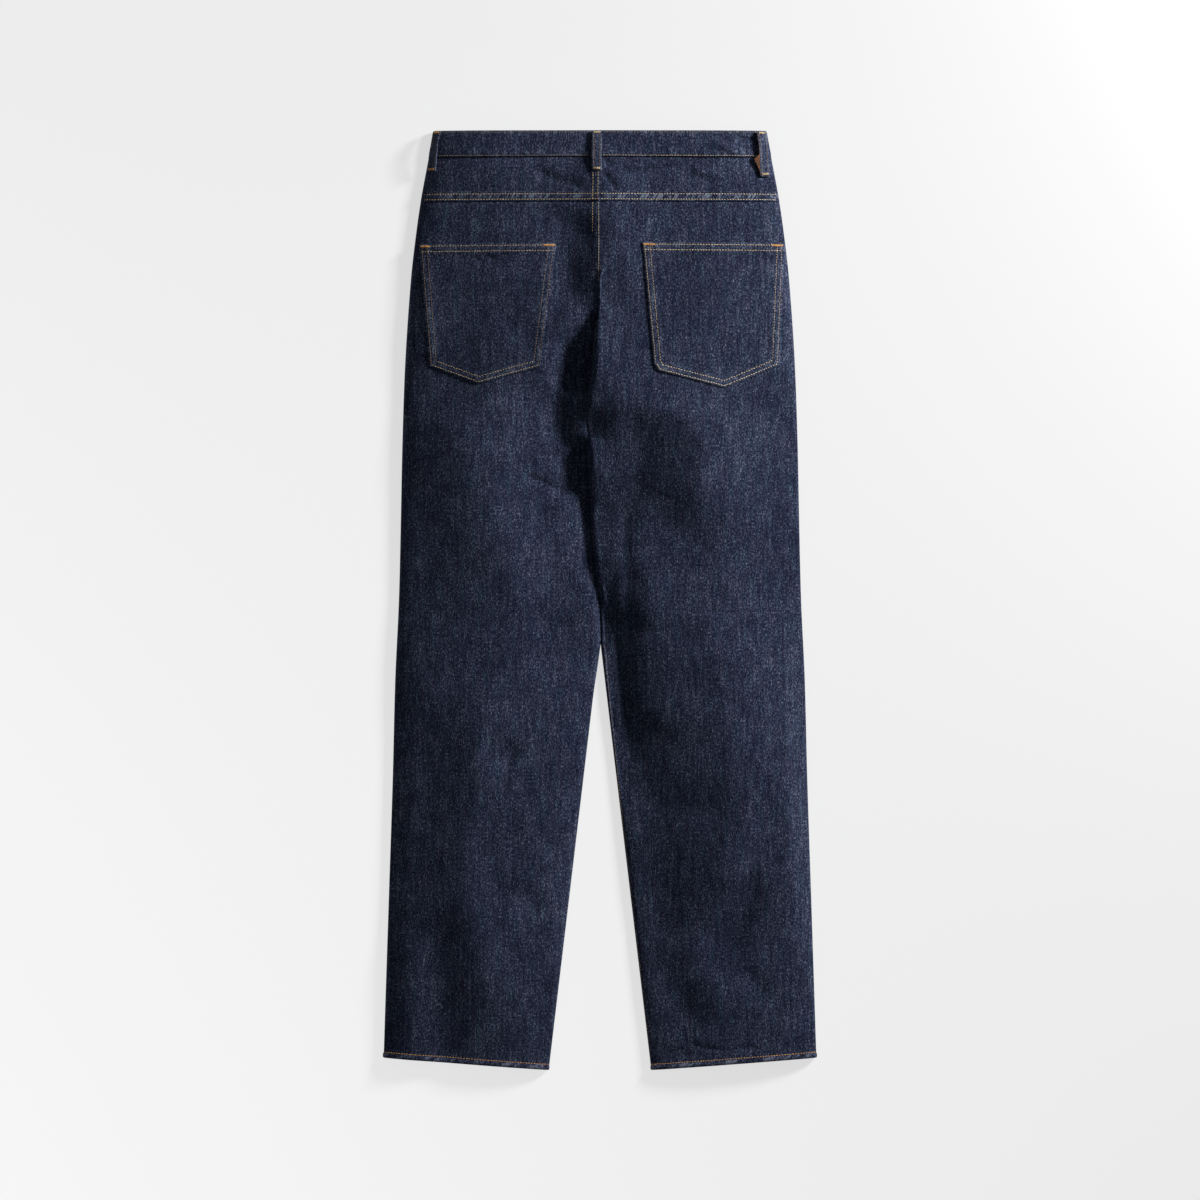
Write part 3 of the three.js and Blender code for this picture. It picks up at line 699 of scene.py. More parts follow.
def grid_uv(grid):
    """Flat coordinates of a cloth: along each row, and down the column in the middle."""
    steps = np.linalg.norm(np.diff(grid, axis=1), axis=2)
    across = beside(np.zeros((len(grid), 1)), np.cumsum(steps, axis=1))
    middle = grid.shape[1] // 2
    across = across - across[:, middle:middle + 1] + grid[:, middle:middle + 1, 0]
    return np.stack([across, LENGTH / 2 - grid[:, :, 1]], axis=-1)


def cloth(name, grid, face=1, out=CLOTH / 2, back=CLOTH / 2, normals=None,
          materials=(OUTSIDE, INSIDE), wear_and_highlight=0.0):
    """A thin closed shell about a grid of points, which stands for the CAD node of its name."""
    shape = grid.shape[:2]
    normals = outward_normals(grid, face) if normals is None else normals
    outer = grid + normals * np.broadcast_to(out, shape)[..., None]
    inner = grid - normals * np.broadcast_to(back, shape)[..., None]
    layers[name] = (outer, normals)
    ids = np.arange(grid[..., 0].size).reshape(shape)
    size = ids.size
    a, b = ids[:-1, :-1].ravel(), ids[1:, :-1].ravel()
    c, d = ids[1:, 1:].ravel(), ids[:-1, 1:].ravel()
    outside = np.stack([a, b, c, d], axis=1)
    inside = np.stack([a, d, c, b], axis=1) + size
    edges = [
        (ids[1:, 0], ids[:-1, 0]), (ids[-1, 1:], ids[-1, :-1]),
        (ids[:-1, -1], ids[1:, -1]), (ids[0, :-1], ids[0, 1:]),
    ]
    rims = [np.stack([p, q, q + size, p + size], axis=1) for p, q in edges]
    quads = np.concatenate([outside, inside, *rims])[:, ::face]
    index = np.zeros(len(quads))
    index[len(outside):2 * len(outside)] = 1
    flat = grid_uv(grid).reshape(-1, 2)
    piece = new_mesh(
        f"{name}_cloth", np.concatenate([outer.reshape(-1, 3), inner.reshape(-1, 3)]), quads,
        materials, uv=np.concatenate([flat, flat]),
        wear_and_highlight=np.concatenate([np.broadcast_to(wear_and_highlight, shape).ravel(), np.zeros(size)]),
        index=index, sharp=50,
    )
    return finished(piece, name)


def share_in(x, outer, inner):
    """0 at the side seam and 1 at the inseam."""
    return np.clip((outer - x) / (outer - inner), 0, 1)


def edge_to_edge(side, outer, inner, count):
    """Places from the side seam to the inseam, closer together near both."""
    first, last = outer - side * EDGE_STEPS[-1], inner + side * EDGE_STEPS[-1]
    middle = mix(first, last, shares(count)[1:-1])
    return beside(outer - side * EDGE_STEPS, middle, inner + side * EDGE_STEPS[::-1])


def panel_places(side, rows, outer, inner, count):
    """x, down and share of a panel's points, in rows from left to right."""
    x = edge_to_edge(side, outer, inner, count)
    share = share_in(x, outer, inner)
    down = hem_tilt(rows, share)
    return x[:, ::-side], down[:, ::-side], share[:, ::-side]


def back_grid(side, rows, count):
    """x and down of a back panel's points."""
    inner_down = hem_tilt(rows, 1)
    outer = side_edge(side, rows) - side * CLOTH / 2
    inner = back_inner_edge(side, inner_down) + side * CLOTH / 2 * leg_share(inner_down)
    return panel_places(side, rows, outer, inner, count)[:2]


def seam_normals(grid, face, side, standing, open_edge=False):
    """Cloth stands upright at a side seam or inseam, and is level where panels butt or end."""
    normals = outward_normals(grid, face)
    outer_column, inner_column = (0, -1) if side == LEFT else (-1, 0)
    normals[:, outer_column] = np.where(open_edge, normals[:, outer_column], (side, 0, 0))
    inner = normals[:, inner_column].copy()
    inner[:, 0] = 0
    upright = np.array([-side, 0, 0], float)
    normals[:, inner_column] = unit(mix(unit(inner), upright, standing))
    return normals


# ---------------------------------------------------------------- stitches

STITCH_PITCH = 3.1
STITCH_LONG = 2.5
ROW_STEP = 1.5
random = np.random.default_rng(7)


def stitch_shape(sides=6):
    """One stitch from end to end along +X: a flat capsule whose ends dip into the cloth."""
    ends = np.array([-1.0, -0.62, 0.62, 1.0])
    broad = np.array([0.45, 1.0, 1.0, 0.45])
    rise = np.array([-0.9, 0.25, 0.25, -0.9])
    turn = np.arange(sides) * 2 * math.pi / sides
    points = [
        (end, wide * math.cos(t), high + wide * math.sin(t))
        for end, wide, high in zip(ends, broad, rise) for t in turn
    ]
    quads = []
    for start in range(0, (len(ends) - 1) * sides, sides):
        for i in range(sides):
            beyond = (i + 1) % sides
            quads.append((start + i, start + sides + i, start + sides + beyond, start + beyond))
    last = (len(ends) - 1) * sides
    quads += [(0, 1, 2, 5), (5, 2, 3, 4)]
    quads += [(last + 5, last + 2, last + 1, last), (last + 4, last + 3, last + 2, last + 5)]
    return np.array(points), np.array(quads)


STITCH_POINTS, STITCH_QUADS = stitch_shape()


def sewn(name, rows, material, wide=0.72, tall=0.45, pitch=STITCH_PITCH, long=STITCH_LONG):
    """Rows of stitches as one piece. Each row is (points on the cloth, outward normals)."""
    chunks = []
    for points, normals in rows:
        reach = reaches(points)
        count = max(int(reach[-1] / pitch), 1)
        at = (np.arange(count) + 0.5) * reach[-1] / count
        at = at + random.uniform(-0.06, 0.06, count) * pitch
        sample = lambda values, s: np.stack([np.interp(s, reach, values[:, k]) for k in range(3)], 1)
        centre, up = sample(points, at), unit(sample(normals, at))
        heading = unit(sample(points, at + 0.5) - sample(points, at - 0.5))
        across = unit(np.cross(up, heading))
        heading = unit(heading + across * random.uniform(-0.05, 0.05, (count, 1)))
        size = random.uniform(0.92, 1.08, (count, 1, 1))
        local = STITCH_POINTS[None] * np.array([long / 2, wide / 2, tall / 2]) * size
        chunks.append(
            centre[:, None] + local[..., :1] * heading[:, None] + local[..., 1:2] * across[:, None]
            + local[..., 2:] * up[:, None]
        )
    points = np.concatenate(chunks)
    points[..., 2] = np.maximum(points[..., 2], FLOOR_CLEAR)
    count, each = points.shape[:2]
    quads = (STITCH_QUADS[None] + np.arange(count)[:, None, None] * each).reshape(-1, 4)
    return finished(new_mesh(name, points.reshape(-1, 3), quads, [material]))


def on_grid(outer, normals, i, j):
    """Points and normals at fractional rows i and columns j of a cloth's outer layer."""
    rows, columns = outer.shape[:2]
    i, j = np.clip(i, 0, rows - 1.001), np.clip(j, 0, columns - 1.001)
    a, b = i.astype(int), j.astype(int)
    s, t = (i - a)[:, None], (j - b)[:, None]
    pick = lambda v: mix(mix(v[a, b], v[a, b + 1], t), mix(v[a + 1, b], v[a + 1, b + 1], t), s)
    return pick(outer), unit(pick(normals))


def on_cloth(layer, x, down):
    """Points and normals at given places on a cloth, found on its outer layer."""
    outer, normals = layers[layer]
    y = LENGTH / 2 - down
    rows, columns = np.arange(outer.shape[0]), np.arange(outer.shape[1])
    j = np.full(len(x), outer.shape[1] / 2.0)
    for _ in range(4):
        nearest = np.clip(np.round(j).astype(int), 0, columns[-1])
        i = np.array([np.interp(-value, -outer[:, c, 1], rows) for value, c in zip(y, nearest)])
        near_row = np.clip(np.round(i).astype(int), 0, rows[-1])
        j = np.array([np.interp(value, outer[r, :, 0], columns) for value, r in zip(x, near_row)])
    return on_grid(outer, normals, i, j)


def sewing_row(layer, path, to_end=True):
    """A stitch row on a cloth through (x, down) corners, with a point about every ROW_STEP."""
    corners = np.array(path, float)
    reach = reaches(corners)
    count = max(int(reach[-1] / ROW_STEP), 3)
    at = np.linspace(0, reach[-1], count) if to_end else np.arange(0, reach[-1], ROW_STEP)
    return on_cloth(layer, *(np.interp(at, reach, corners[:, k]) for k in (0, 1)))


def evened(row, width=9):
    """A stitch row evened out along its length, where the cloth's grid runs slanted to it."""
    even = []
    for values in row:
        padded = np.pad(values, ((width // 2, width // 2), (0, 0)), mode="reflect", reflect_type="odd")
        even.append(np.lib.stride_tricks.sliding_window_view(padded, width, axis=0).mean(axis=-1))
    return even[0], unit(even[1])


def tack(layer, x0, x1, down0, down1, strands):
    """A bar tack: a dense zigzag of thread between two edges."""
    x = mix(x0, x1, shares(strands))
    down = np.where(np.arange(strands) % 2 == 0, down0, down1)
    at = shares(4)
    return [
        on_cloth(layer, mix(x[k], x[k + 1], at), mix(down[k], down[k + 1], at))
        for k in range(strands - 1)
    ]


def tacks(name, rows, material):
    made = [(points + normals * 0.25, normals) for points, normals in rows]
    length = np.linalg.norm(made[0][0][-1] - made[0][0][0])
    return sewn(name, made, material, wide=0.8, tall=0.7, pitch=length * 1.01, long=length * 1.1)


# ---------------------------------------------------------------- back panels and yokes


def right_back_places(rows, count):
    """x, down and z of the right back panel's points: the rolled edge, then the field beside it."""
    nose_x, nose_z = nose_points(rows)
    inner = back_inner_edge(RIGHT, rows) + CLOTH / 2 * leg_share(rows)
    share = fold_share(rows)
    # The field starts where the rolled edge ends: at the crest, or a little way in when flat.
    start = mix(inner + NOSE_REACH, inner, share)
    outer = side_edge(RIGHT, rows) - CLOTH / 2
    field = mix(start + 1.2, outer - EDGE_STEPS[-1], shares(count))
    x = beside(nose_x, field, outer - EDGE_STEPS[-2::-1])
    tilt_share = share_in(x, outer, inner)
    down = hem_tilt(rows, tilt_share)
    edge = back_inner_edge(RIGHT, down) + CLOTH / 2 * leg_share(down)
    plain = nose_x.shape[1]
    z = right_field_height(x, down)
    z[:, :plain] = mix(z[:, :plain], nose_z, share)
    moved = x + (edge - inner) * tilt_share
    return moved, down, np.where(share > 0, z, back_height(RIGHT, moved, down))


def back_panel(side):
    rows = BACK_ROWS[:, None]
    if side == LEFT:
        x, down = back_grid(side, rows, 88)
        z = back_height(side, x, down)
    else:
        x, down, z = right_back_places(rows, 74)
    # It dips under the yoke's lower edge.
    z = z + seat_ridge(side, x, down) - 1.25 * (1 - ease(down, 80.0, 84.0))
    grid = placed(x, down, z)
    cloth(named("back", side), grid, normals=seam_normals(grid, 1, side, leg_share(rows)))


def yoke(side):
    rows = YOKE_ROWS[:, None]
    x, down = back_grid(side, rows, 250)
    z = back_height(side, x, down) + yoke_ridge(x, down) + seat_ridge(side, x, down)
    # It dips under the waistband's lower edge.
    z = z - 0.8 * (1 - ease(down, 30.5, 36))
    # Paler on the crests of the yoke seam's puckers: partly wear, partly painted highlight.
    wear_and_highlight = 1.7 * np.maximum(yoke_pucker(x, down - YOKE_SEWN[0]), 0) * ease(down, 70, 72)
    grid = placed(x, down, z)
    cloth(named("yoke", side), grid, normals=seam_normals(grid, 1, side, leg_share(rows)), wear_and_highlight=wear_and_highlight)


for side in (LEFT, RIGHT):
    back_panel(side)
    yoke(side)

# ---------------------------------------------------------------- patch pockets


def pocket(side):
    """A patch pocket on the back panel's own shape, with a hem at its mouth and turned-in edges."""
    cut = POCKETS[side]
    foot = np.array(cut["foot"], float)
    corners = (foot[:, 0] - foot[0, 0]) / (foot[-1, 0] - foot[0, 0])
    even = np.linspace(0.08, 0.92, 66)
    s = np.unique(np.round(beside(POCKET_STEPS, 1 - POCKET_STEPS, corners, even), 5))
    t = np.unique(np.round(beside(POCKET_STEPS, 1 - POCKET_STEPS, even), 5))[:, None]
    left, right = mix(*cut["left"], t), mix(*cut["right"], t)
    top, bottom = mix(*cut["top"], s), np.interp(s, corners, foot[:, 1])
    x, down = mix(left, right, s), mix(top, bottom, t)
    base = placed(x, down, back_height(side, x, down))
    from_foot = (bottom - down) * 0.965
    from_left, from_right, from_top = x - left, right - x, down - top
    edge = np.minimum(np.minimum(from_left, from_right), from_foot)
    turned = 1 - ease(edge, 9.4, 11.0)
    hem = 1 - ease(from_top, 10.8, 12.0)
    held = twin(edge, *POCKET_SEWN, 0.8) + twin(from_top, *MOUTH_SEWN, 0.8) * (edge > 1.5)
    along_edge = np.where(from_foot < np.minimum(from_left, from_right), x, down)
    near, near_top = bell(edge - 4.2, 4.0), bell(from_top - 4.5, 4.5)
    pucker = near * lattice_noise(along_edge + edge * 0.4, edge * 0.25, 4.6, 30 + side)
    top_pucker = near_top * lattice_noise(x + from_top * 0.5, from_top * 0.2, 4.4, 33 + side)
    seams = 0.45 * np.maximum(turned, hem) + 0.35 * turned * hem - 0.34 * np.minimum(held, 1)
    seams = seams + 0.26 * pucker + 0.26 * top_pucker
    rounded = np.minimum(edge, from_top)
    # Height over the panel: the left pocket stands off at its inner edge, the right one a little.
    if side == LEFT:
        proud = 2.0 * np.exp(-from_right / 7) * ease(from_top, 0, 30)
    else:
        proud = 0.3 * np.exp(-from_left / 8) * ease(from_top, 4, 40)
        proud = proud + 0.6 * np.exp(-((x - 64) ** 2 + (down - 268) ** 2) / 18**2)
    lift = CLOTH + GAP - 0.75 * (1 - ease(rounded, 0, 1.1))
    mouth = 0.8 * np.sin(math.pi * s) * np.exp(-from_top / 14)
    body = 0.5 * lattice_noise(x, down * 0.5, 30, 36 + side) * ease(edge, 8, 30)
    grid = base + outward_normals(base, 1) * (lift + proud + mouth + body)[..., None]
    # Paler near the pocket's edges and mouth and on pucker crests: partly wear, partly painted
    # highlight.
    wear_and_highlight = 0.5 * near + 0.5 * near_top + 0.9 * np.exp(-rounded / 1.2)
    wear_and_highlight = wear_and_highlight * (0.4 + 0.9 * np.maximum(pucker + top_pucker, 0))
    cloth(named("back_pocket", side), grid, out=CLOTH / 2 + seams, wear_and_highlight=wear_and_highlight)


def pocket_outline(side):
    """The (x, down) corners of a pocket, clockwise from its upper left one."""
    cut = POCKETS[side]
    return [(cut["left"][0], cut["top"][0]), (cut["right"][0], cut["top"][1]), *cut["foot"][::-1]]


def inset(corners, off):
    """A closed outline's corners moved in by off. Corners run clockwise in the picture."""
    points = np.array(corners, float)
    inward = []
    for way in (points - np.roll(points, 1, axis=0), np.roll(points, -1, axis=0) - points):
        way = unit(way)
        inward.append(np.stack([-way[:, 1], way[:, 0]], axis=1))
    half = unit(inward[0] + inward[1])
    return points + half * (off / np.maximum((half * inward[0]).sum(axis=1, keepdims=True), 0.3))


# ---------------------------------------------------------------- hems

# Round the rolled edge of a hem: (down from the panel's end, off the middle of the cloth).
HEM_SECTION = np.array([
    (-8.4, 0.35), (-7.2, 0.60), (-6.5, 0.56), (-6.1, 0.58), (-5.6, 0.85), (-4.6, 1.25), (-3.4, 1.45),
    (-2.2, 1.45), (-1.2, 1.25), (-0.5, 0.95), (-0.1, 0.45), (0, -0.1), (-0.1, -0.7), (-0.5, -1.2),
    (-1.4, -1.6), (-3.0, -1.75), (-5.6, -1.75), (-7.0, -1.7), (-7.7, -1.3), (-8.0, -0.4),
])
HEM_OUTER_POINTS = 14


def hem(side):
    """The rolled hem right round one leg, with the slanted puckers of a chain-stitched edge."""
    name = named("hem", side)
    outer = side_edge(side, HEM_OUTER) - side * CLOTH / 2
    inner = back_inner_edge(side, HEM_OUTER + HEM_SLOPE) + side * CLOTH / 2
    x = edge_to_edge(LEFT, min(outer, inner), max(outer, inner), 150)
    edge_down = HEM_OUTER + HEM_SLOPE * share_in(x, outer, inner)
    count = len(x)
    path_down = beside(edge_down, edge_down[::-1])
    v, off = HEM_SECTION[:, :1], HEM_SECTION[:, 1:]
    down = path_down + v
    wide_x = np.broadcast_to(beside(x, x[::-1]), down.shape)
    z = beside(
        back_height(side, wide_x[:, :count], down[:, :count]),
        front_height(side, wide_x[:, count:], down[:, count:]),
    )
    z = np.maximum(z, CLOTH / 2 + FRONT_CLEAR + 0.75 * ease(v, -9, -5) * (z < 2.6))
    middle = placed(wide_x, down, z)
    ahead, behind = np.roll(middle, -1, axis=1), np.roll(middle, 1, axis=1)
    normals = unit(np.cross(np.broadcast_to([0, -1.0, 0], middle.shape), ahead - behind))
    run = np.cumsum(np.linalg.norm(middle[0] - behind[0], axis=1))
    roping = lattice_noise(run + 1.3 * v, v * 0.12, 4.6, 40 + side)
    roping = roping + 0.6 * lattice_noise(run + 1.3 * v, v * 0.1, 2.9, 43 + side)
    shaped = bell(v + 2.8, 2.4) * np.sign(off)
    points = middle + normals * (off + 0.52 * roping * shaped)[..., None]
    points[..., 2] = np.maximum(points[..., 2], FLOOR_CLEAR)
    a = np.arange(down.size).reshape(down.shape)
    b = np.roll(a, -1, axis=0)
    quads = np.stack([a, b, np.roll(b, -1, axis=1), np.roll(a, -1, axis=1)], axis=-1).reshape(-1, 4)
    uv = np.stack(np.broadcast_arrays(run, path_down + v + (off < 0) * 9), axis=-1)
    # Paler on the crests of the hem's roping: partly wear, partly painted highlight.
    wear_and_highlight = 2.2 * (np.maximum(roping, 0) * bell(v + 2.8, 2.6) * (off > 0))
    finished(new_mesh(
        f"{name}_roll", points.reshape(-1, 3), quads, [OUTSIDE], uv=uv.reshape(-1, 2), wear_and_highlight=wear_and_highlight,
    ))
    sewn_at = np.argmin(np.abs(HEM_SECTION[:HEM_OUTER_POINTS, 0] - HEM_SEWN))
    layers[name] = (points[sewn_at], normals[sewn_at])


# ---------------------------------------------------------------- fronts, facings and fly


def scoop_x(side, down, margin=0.0):
    """The edge of a front pocket's mouth: a quarter ellipse from the band to the side seam."""
    edge = along(SECTIONS, 1, BAND_DEEP + SCOOP_DEEP) + SCOOP_PAST
    rise = np.clip((down - BAND_DEEP) / (SCOOP_DEEP + margin), 0, 1)
    return side * (edge - (edge - SCOOP_FROM + margin) * np.sqrt(1 - rise**2))


def front_panel(side):
    rows = FRONT_ROWS[:, None]
    inner_down = hem_tilt(rows, 1)
    at_side = side_edge(side, rows) - side * CLOTH / 2
    mouth = scoop_x(side, rows)
    in_mouth = (rows < BAND_DEEP + SCOOP_DEEP) & (side * mouth < side * at_side)
    outer = np.where(in_mouth, mouth, at_side)
    inner = front_inner_edge(side, inner_down)
    inner = inner + side * CLOTH / 2 * inner_lip_share(inner_down)
    x, down, share = panel_places(side, rows, outer, inner, 58)
    # The rolled hem goes round the panel's end, so the panel is a little higher there.
    above_hem = HEM_OUTER + HEM_SLOPE * share - down
    z = front_height(side, x, down) + 1.3 * (1 - ease(above_hem, 9, 16))
    grid = placed(x, down, z)
    normals = seam_normals(grid, -1, side, inner_lip_share(rows), open_edge=in_mouth)
    cloth(named("front", side), grid, -1, normals=normals)


def facing(side):
    """Denim facing in the scooped mouth of a front pocket."""
    down = np.linspace(BAND_DEEP - 2.5, BAND_DEEP + SCOOP_DEEP + 21.5, 48)[:, None]
    outer = side_edge(side, down) - side * CLOTH / 2
    inner = scoop_x(side, down, 22.0)
    inner = np.where(side * inner < side * outer - 3, inner, outer - side * 3)
    x = mix(outer, inner, shares(40) ** 1.5)[:, ::-side]
    lift = (CLOTH + GAP) * ease(from_side(side, x, down, CLOTH), 0, 2.5)
    grid = placed(x, down, front_height(side, x, down) + lift)
    normals = outward_normals(grid, -1)
    normals[:, 0 if side == LEFT else -1] = (side, 0, 0)
    cloth(named("front_pocket_facing", side), grid, -1, normals=normals)


def fly_shield():
    down = beside(np.linspace(BAND_DEEP + 0.5, 132, 30), np.linspace(135, 169.5, 14))[:, None]
    left = -38 * np.sqrt(1 - np.clip((down - 132) / 38, 0, 1) ** 2)
    x = mix(left, 8.0, shares(22))
    z = np.where(x < 0, front_height(LEFT, x, down), front_height(RIGHT, x, down))
    cloth("fly_shield", placed(x, down, z + CLOTH + GAP), -1)


# ---------------------------------------------------------------- waistband and button


def waistband():
    """One folded strip from its outer end at the centre front, round the back, to its inner end."""
    down = BAND_ROWS[:, None]
    half = along(SECTIONS, 1, down) - BAND_CLOTH / 2
    last = EDGE_STEPS[-1]
    left_front = beside(mix(18.0, -(half - last), shares(84)), -(half - EDGE_STEPS[-2::-1]))
    back = beside(
        -(half - EDGE_STEPS[2:]), mix(-1, 1, shares(174)[1:-1]) * (half - last),
        half - EDGE_STEPS[:1:-1],
    )
    right_front = beside(half - EDGE_STEPS, mix(half - last, -20.0, shares(84)[1:]))
    x = beside(left_front, back, right_front)
    first, second = left_front.shape[1], left_front.shape[1] + back.shape[1]
    parts = {
        "band_left_front": slice(0, first), "waistband": slice(first, second),
        "band_right_front": slice(second, None),
    }
    z = np.empty(x.shape)
    for side in (LEFT, RIGHT):
        part = parts[f"band_{SIDE_NAMES[side]}_front"]
        sided = np.where(side * x[:, part] > 0, x[:, part], 0.0)
        z[:, part] = front_height(side, sided, down, BAND_CLOTH) + 0.35
    z[:, second:] += (BAND_CLOTH + GAP) * (1 - ease(x[:, second:], 24, 50))
    seen = x[:, first:second]
    z[:, first:second] = np.where(
        seen < 0, back_height(LEFT, seen, down), back_height(RIGHT, seen, down),
    )
    grid = placed(x, down, z)
    from_foot = BAND_DEEP - down
    top_round = np.sqrt(np.maximum(1 - (1 - np.minimum(down, 1.3) / 1.3) ** 2, 0.03))
    foot_round = np.sqrt(np.maximum(1 - (1 - np.minimum(from_foot, 0.7) / 0.7) ** 2, 0.2))
    run = grid_uv(grid)[..., 0]
    held = bell(down - BAND_TOP_SEWN, 0.7) + bell(from_foot - 1.8, 0.7)
    pucker = lattice_noise(run + 0.6 * from_foot, from_foot * 0.2, 4.4, 51) * bell(from_foot - 3.5, 4.0)
    pucker = pucker + lattice_noise(run, down * 0.2, 5.0, 52) * bell(down - 3, 3.0)
    out = (1.55 - 0.35 * held + 0.25 * pucker) * top_round * foot_round
    # Paler at the top fold, the lower edge and pucker crests: partly wear, partly painted highlight.
    wear_and_highlight = 0.8 * np.exp(-down / 1.0) + 0.5 * np.exp(-from_foot / 0.8) + 1.1 * np.maximum(pucker, 0)
    cloth(
        "waistband", grid, out=out, back=1.2 * top_round, materials=(CROSSWISE, CROSSWISE),
        wear_and_highlight=wear_and_highlight * 0.8,
    )
    # Each part is kept on its own, from left to right.
    whole = layers["waistband"]
    for name, part in parts.items():
        step = 1 if name == "waistband" else -1
        layers[name] = tuple(values[:, part][:, ::step] for values in whole)


def lathe(name, profile, centre, material, sides=48):
    """A turned shape about an upright axis, from (radius, z) pairs."""
    turn = np.arange(sides) * 2 * math.pi / sides
    radius, z = np.array(profile, float).T[..., None]
    x, y = centre[0] + radius * np.cos(turn), centre[1] + radius * np.sin(turn)
    points = np.stack(np.broadcast_arrays(x, y, z), axis=-1)
    ids = np.arange(x.size).reshape(x.shape)
    a, b = ids[:-1], ids[1:]
    quads = np.stack([a, np.roll(a, -1, axis=1), np.roll(b, -1, axis=1), b], axis=-1)
    return new_mesh(name, points.reshape(-1, 3), quads.reshape(-1, 4), [material], sharp=40)


def waist_button():
    """A plain shank button with a dished face and a rolled rim."""
    profile = [
        (0.02, 0.55), (3.4, 0.5), (5.2, 0.45), (5.6, 0.15), (6.3, 0.05), (7.4, 0.05), (8.1, 0.3),
        (8.5, 0.9), (8.5, 1.6), (8.2, 2.3), (7.4, 2.8), (4.0, 3.0), (2.8, 3.1), (2.8, 8.7), (4.6, 8.7),
        (4.6, 9.1), (4.0, 9.45), (0.02, 9.5),
    ]
    piece = lathe("waist_button_turned", profile, (0, LENGTH / 2 - BUTTON_DOWN), BRASS)
    finished(piece, "waist_button", slot="brass")


# ---------------------------------------------------------------- belt loops

# Columns of the part of a loop that folds out at its left, by their share of how far it opens.
FLAP_SHARES = np.array([1.0, 0.75, 0.5, 0.25])
FLAP_COLUMNS = len(FLAP_SHARES)


def loop_section(across):
    """Height across a belt loop: its turned edges are thicker, with a groove at each row."""
    edge = (0.5 - np.abs(across)) * LOOP_WIDE
    return 0.1 - 0.22 * bell(edge - 2.0, 0.6) - 0.55 * (1 - ease(edge, 0, 0.9))


def back_loop(name, centre_x, clear, long=LOOP_LONG, lean=0.0, flap=0.0):
    """A belt loop arched off the back. lean tips its right edge up; flap lets its left fold out."""
    share = shares(64)[:, None]
    down = mix(1.0, long, share)
    centre = centre_x(down)
    wall = mix(BAND_CLOTH + 0.6, CLOTH, ease(down, BAND_DEEP, BAND_DEEP + 7))
    tip = lean * (0.55 + 0.45 * bell(share - 0.3, 0.22))
    opened = flap * ease(share, 0.50, 0.62) * np.clip((0.92 - share) / 0.30, 0, 1) + 0.15
    out_by = FLAP_SHARES * opened
    across = np.linspace(-0.5, 0.5, 25) * LOOP_WIDE + 0 * down
    off = beside(-LOOP_WIDE / 2 - out_by, across)
    rise = beside(-0.45 * out_by, 0 * across)
    off, rise = off * np.cos(tip) - rise * np.sin(tip), off * np.sin(tip) + rise * np.cos(tip)
    arched = LOOP_STAND * np.sqrt(np.sin(math.pi * share))
    stand = (wall + LOOP_THICK) / 2 + clear + arched + 0.8 * LOOP_WIDE / 2 * np.abs(np.sin(tip))
    at_side = LEFT if centre[0, 0] < 0 else RIGHT
    slope = back_height(at_side, centre + 0.5, down) - back_height(at_side, centre - 0.5, down)
    flat, level = np.zeros_like(slope), np.ones_like(slope)
    outward = unit(np.stack([-slope, flat, level], axis=-1))
    sideways = unit(np.stack([level, flat, slope], axis=-1))
    base = placed(centre, down, back_height(at_side, centre, down))
    grid = base + sideways * off[..., None] + outward * (stand + rise)[..., None]
    ripple = 0.25 * lattice_noise(grid[..., 0], down, 7, 60 + len(name))
    section = np.clip(off / LOOP_WIDE, -0.5, 0.5)
    # The loop is paler all over and more so at its turned edges: partly wear, partly painted highlight.
    piece = cloth(
        name, grid, out=LOOP_THICK / 2 + loop_section(section) + ripple, back=LOOP_THICK / 2,
        materials=(OUTSIDE, COVERED), wear_and_highlight=0.9 * np.exp(-(0.5 - np.abs(section)) * LOOP_WIDE) + 0.25,
    )
    if flap:
        columns = grid.shape[1] - 1
        for k in range((len(grid) - 1) * columns):
            if k % columns < FLAP_COLUMNS:
                piece.data.polygons[k].material_index = 1
    layers[name] = tuple(values[:, FLAP_COLUMNS:] for values in layers[name])


def front_loop(side):
    down = np.linspace(1, LOOP_LONG, 46)[:, None]
    across = np.linspace(-0.5, 0.5, 17)
    x = side * FRONT_LOOP_X + across * LOOP_WIDE
    cloth(
        named("belt_loop_front", side), placed(x, down, LOOP_THICK / 2 + 0.9), -1,
        out=LOOP_THICK / 2 + loop_section(across), back=LOOP_THICK / 2,
    )


for side in (LEFT, RIGHT):
    pocket(side)
    hem(side)
    front_panel(side)
    facing(side)
    front_loop(side)
waistband()
fly_shield()
waist_button()
back_loop("belt_loop_back", lambda down: BACK_LOOP_X + 0 * down, 0.5)
back_loop(
    "belt_loop_side_left", lambda down: side_edge(LEFT, down) + 6.0 + 0.04 * down, 0.9, lean=0.42,
)
back_loop(
    "belt_loop_side_right", lambda down: side_edge(RIGHT, down) - 7.0 - 0.10 * down, 0.9,
    long=LOOP_LONG + 6, lean=-0.12, flap=5.5,
)

# ---------------------------------------------------------------- stitching

# Threads of each pocket's sides, foot and mouth, and of each yoke. They differ in the photo.
THREADS = {LEFT: (TAN, GOLD, GOLD, GOLD), RIGHT: (GOLD, CREAM, BRIGHT, CREAM)}
FOOT_WIDE = {LEFT: 0.72, RIGHT: 0.9}
LEFT_TACK_LONG = {LEFT: 10.5, RIGHT: 14.0}
RIGHT_TACK_LONG = 14.0
BAND_HALF = float(along(SECTIONS, 1, 28)) - 4

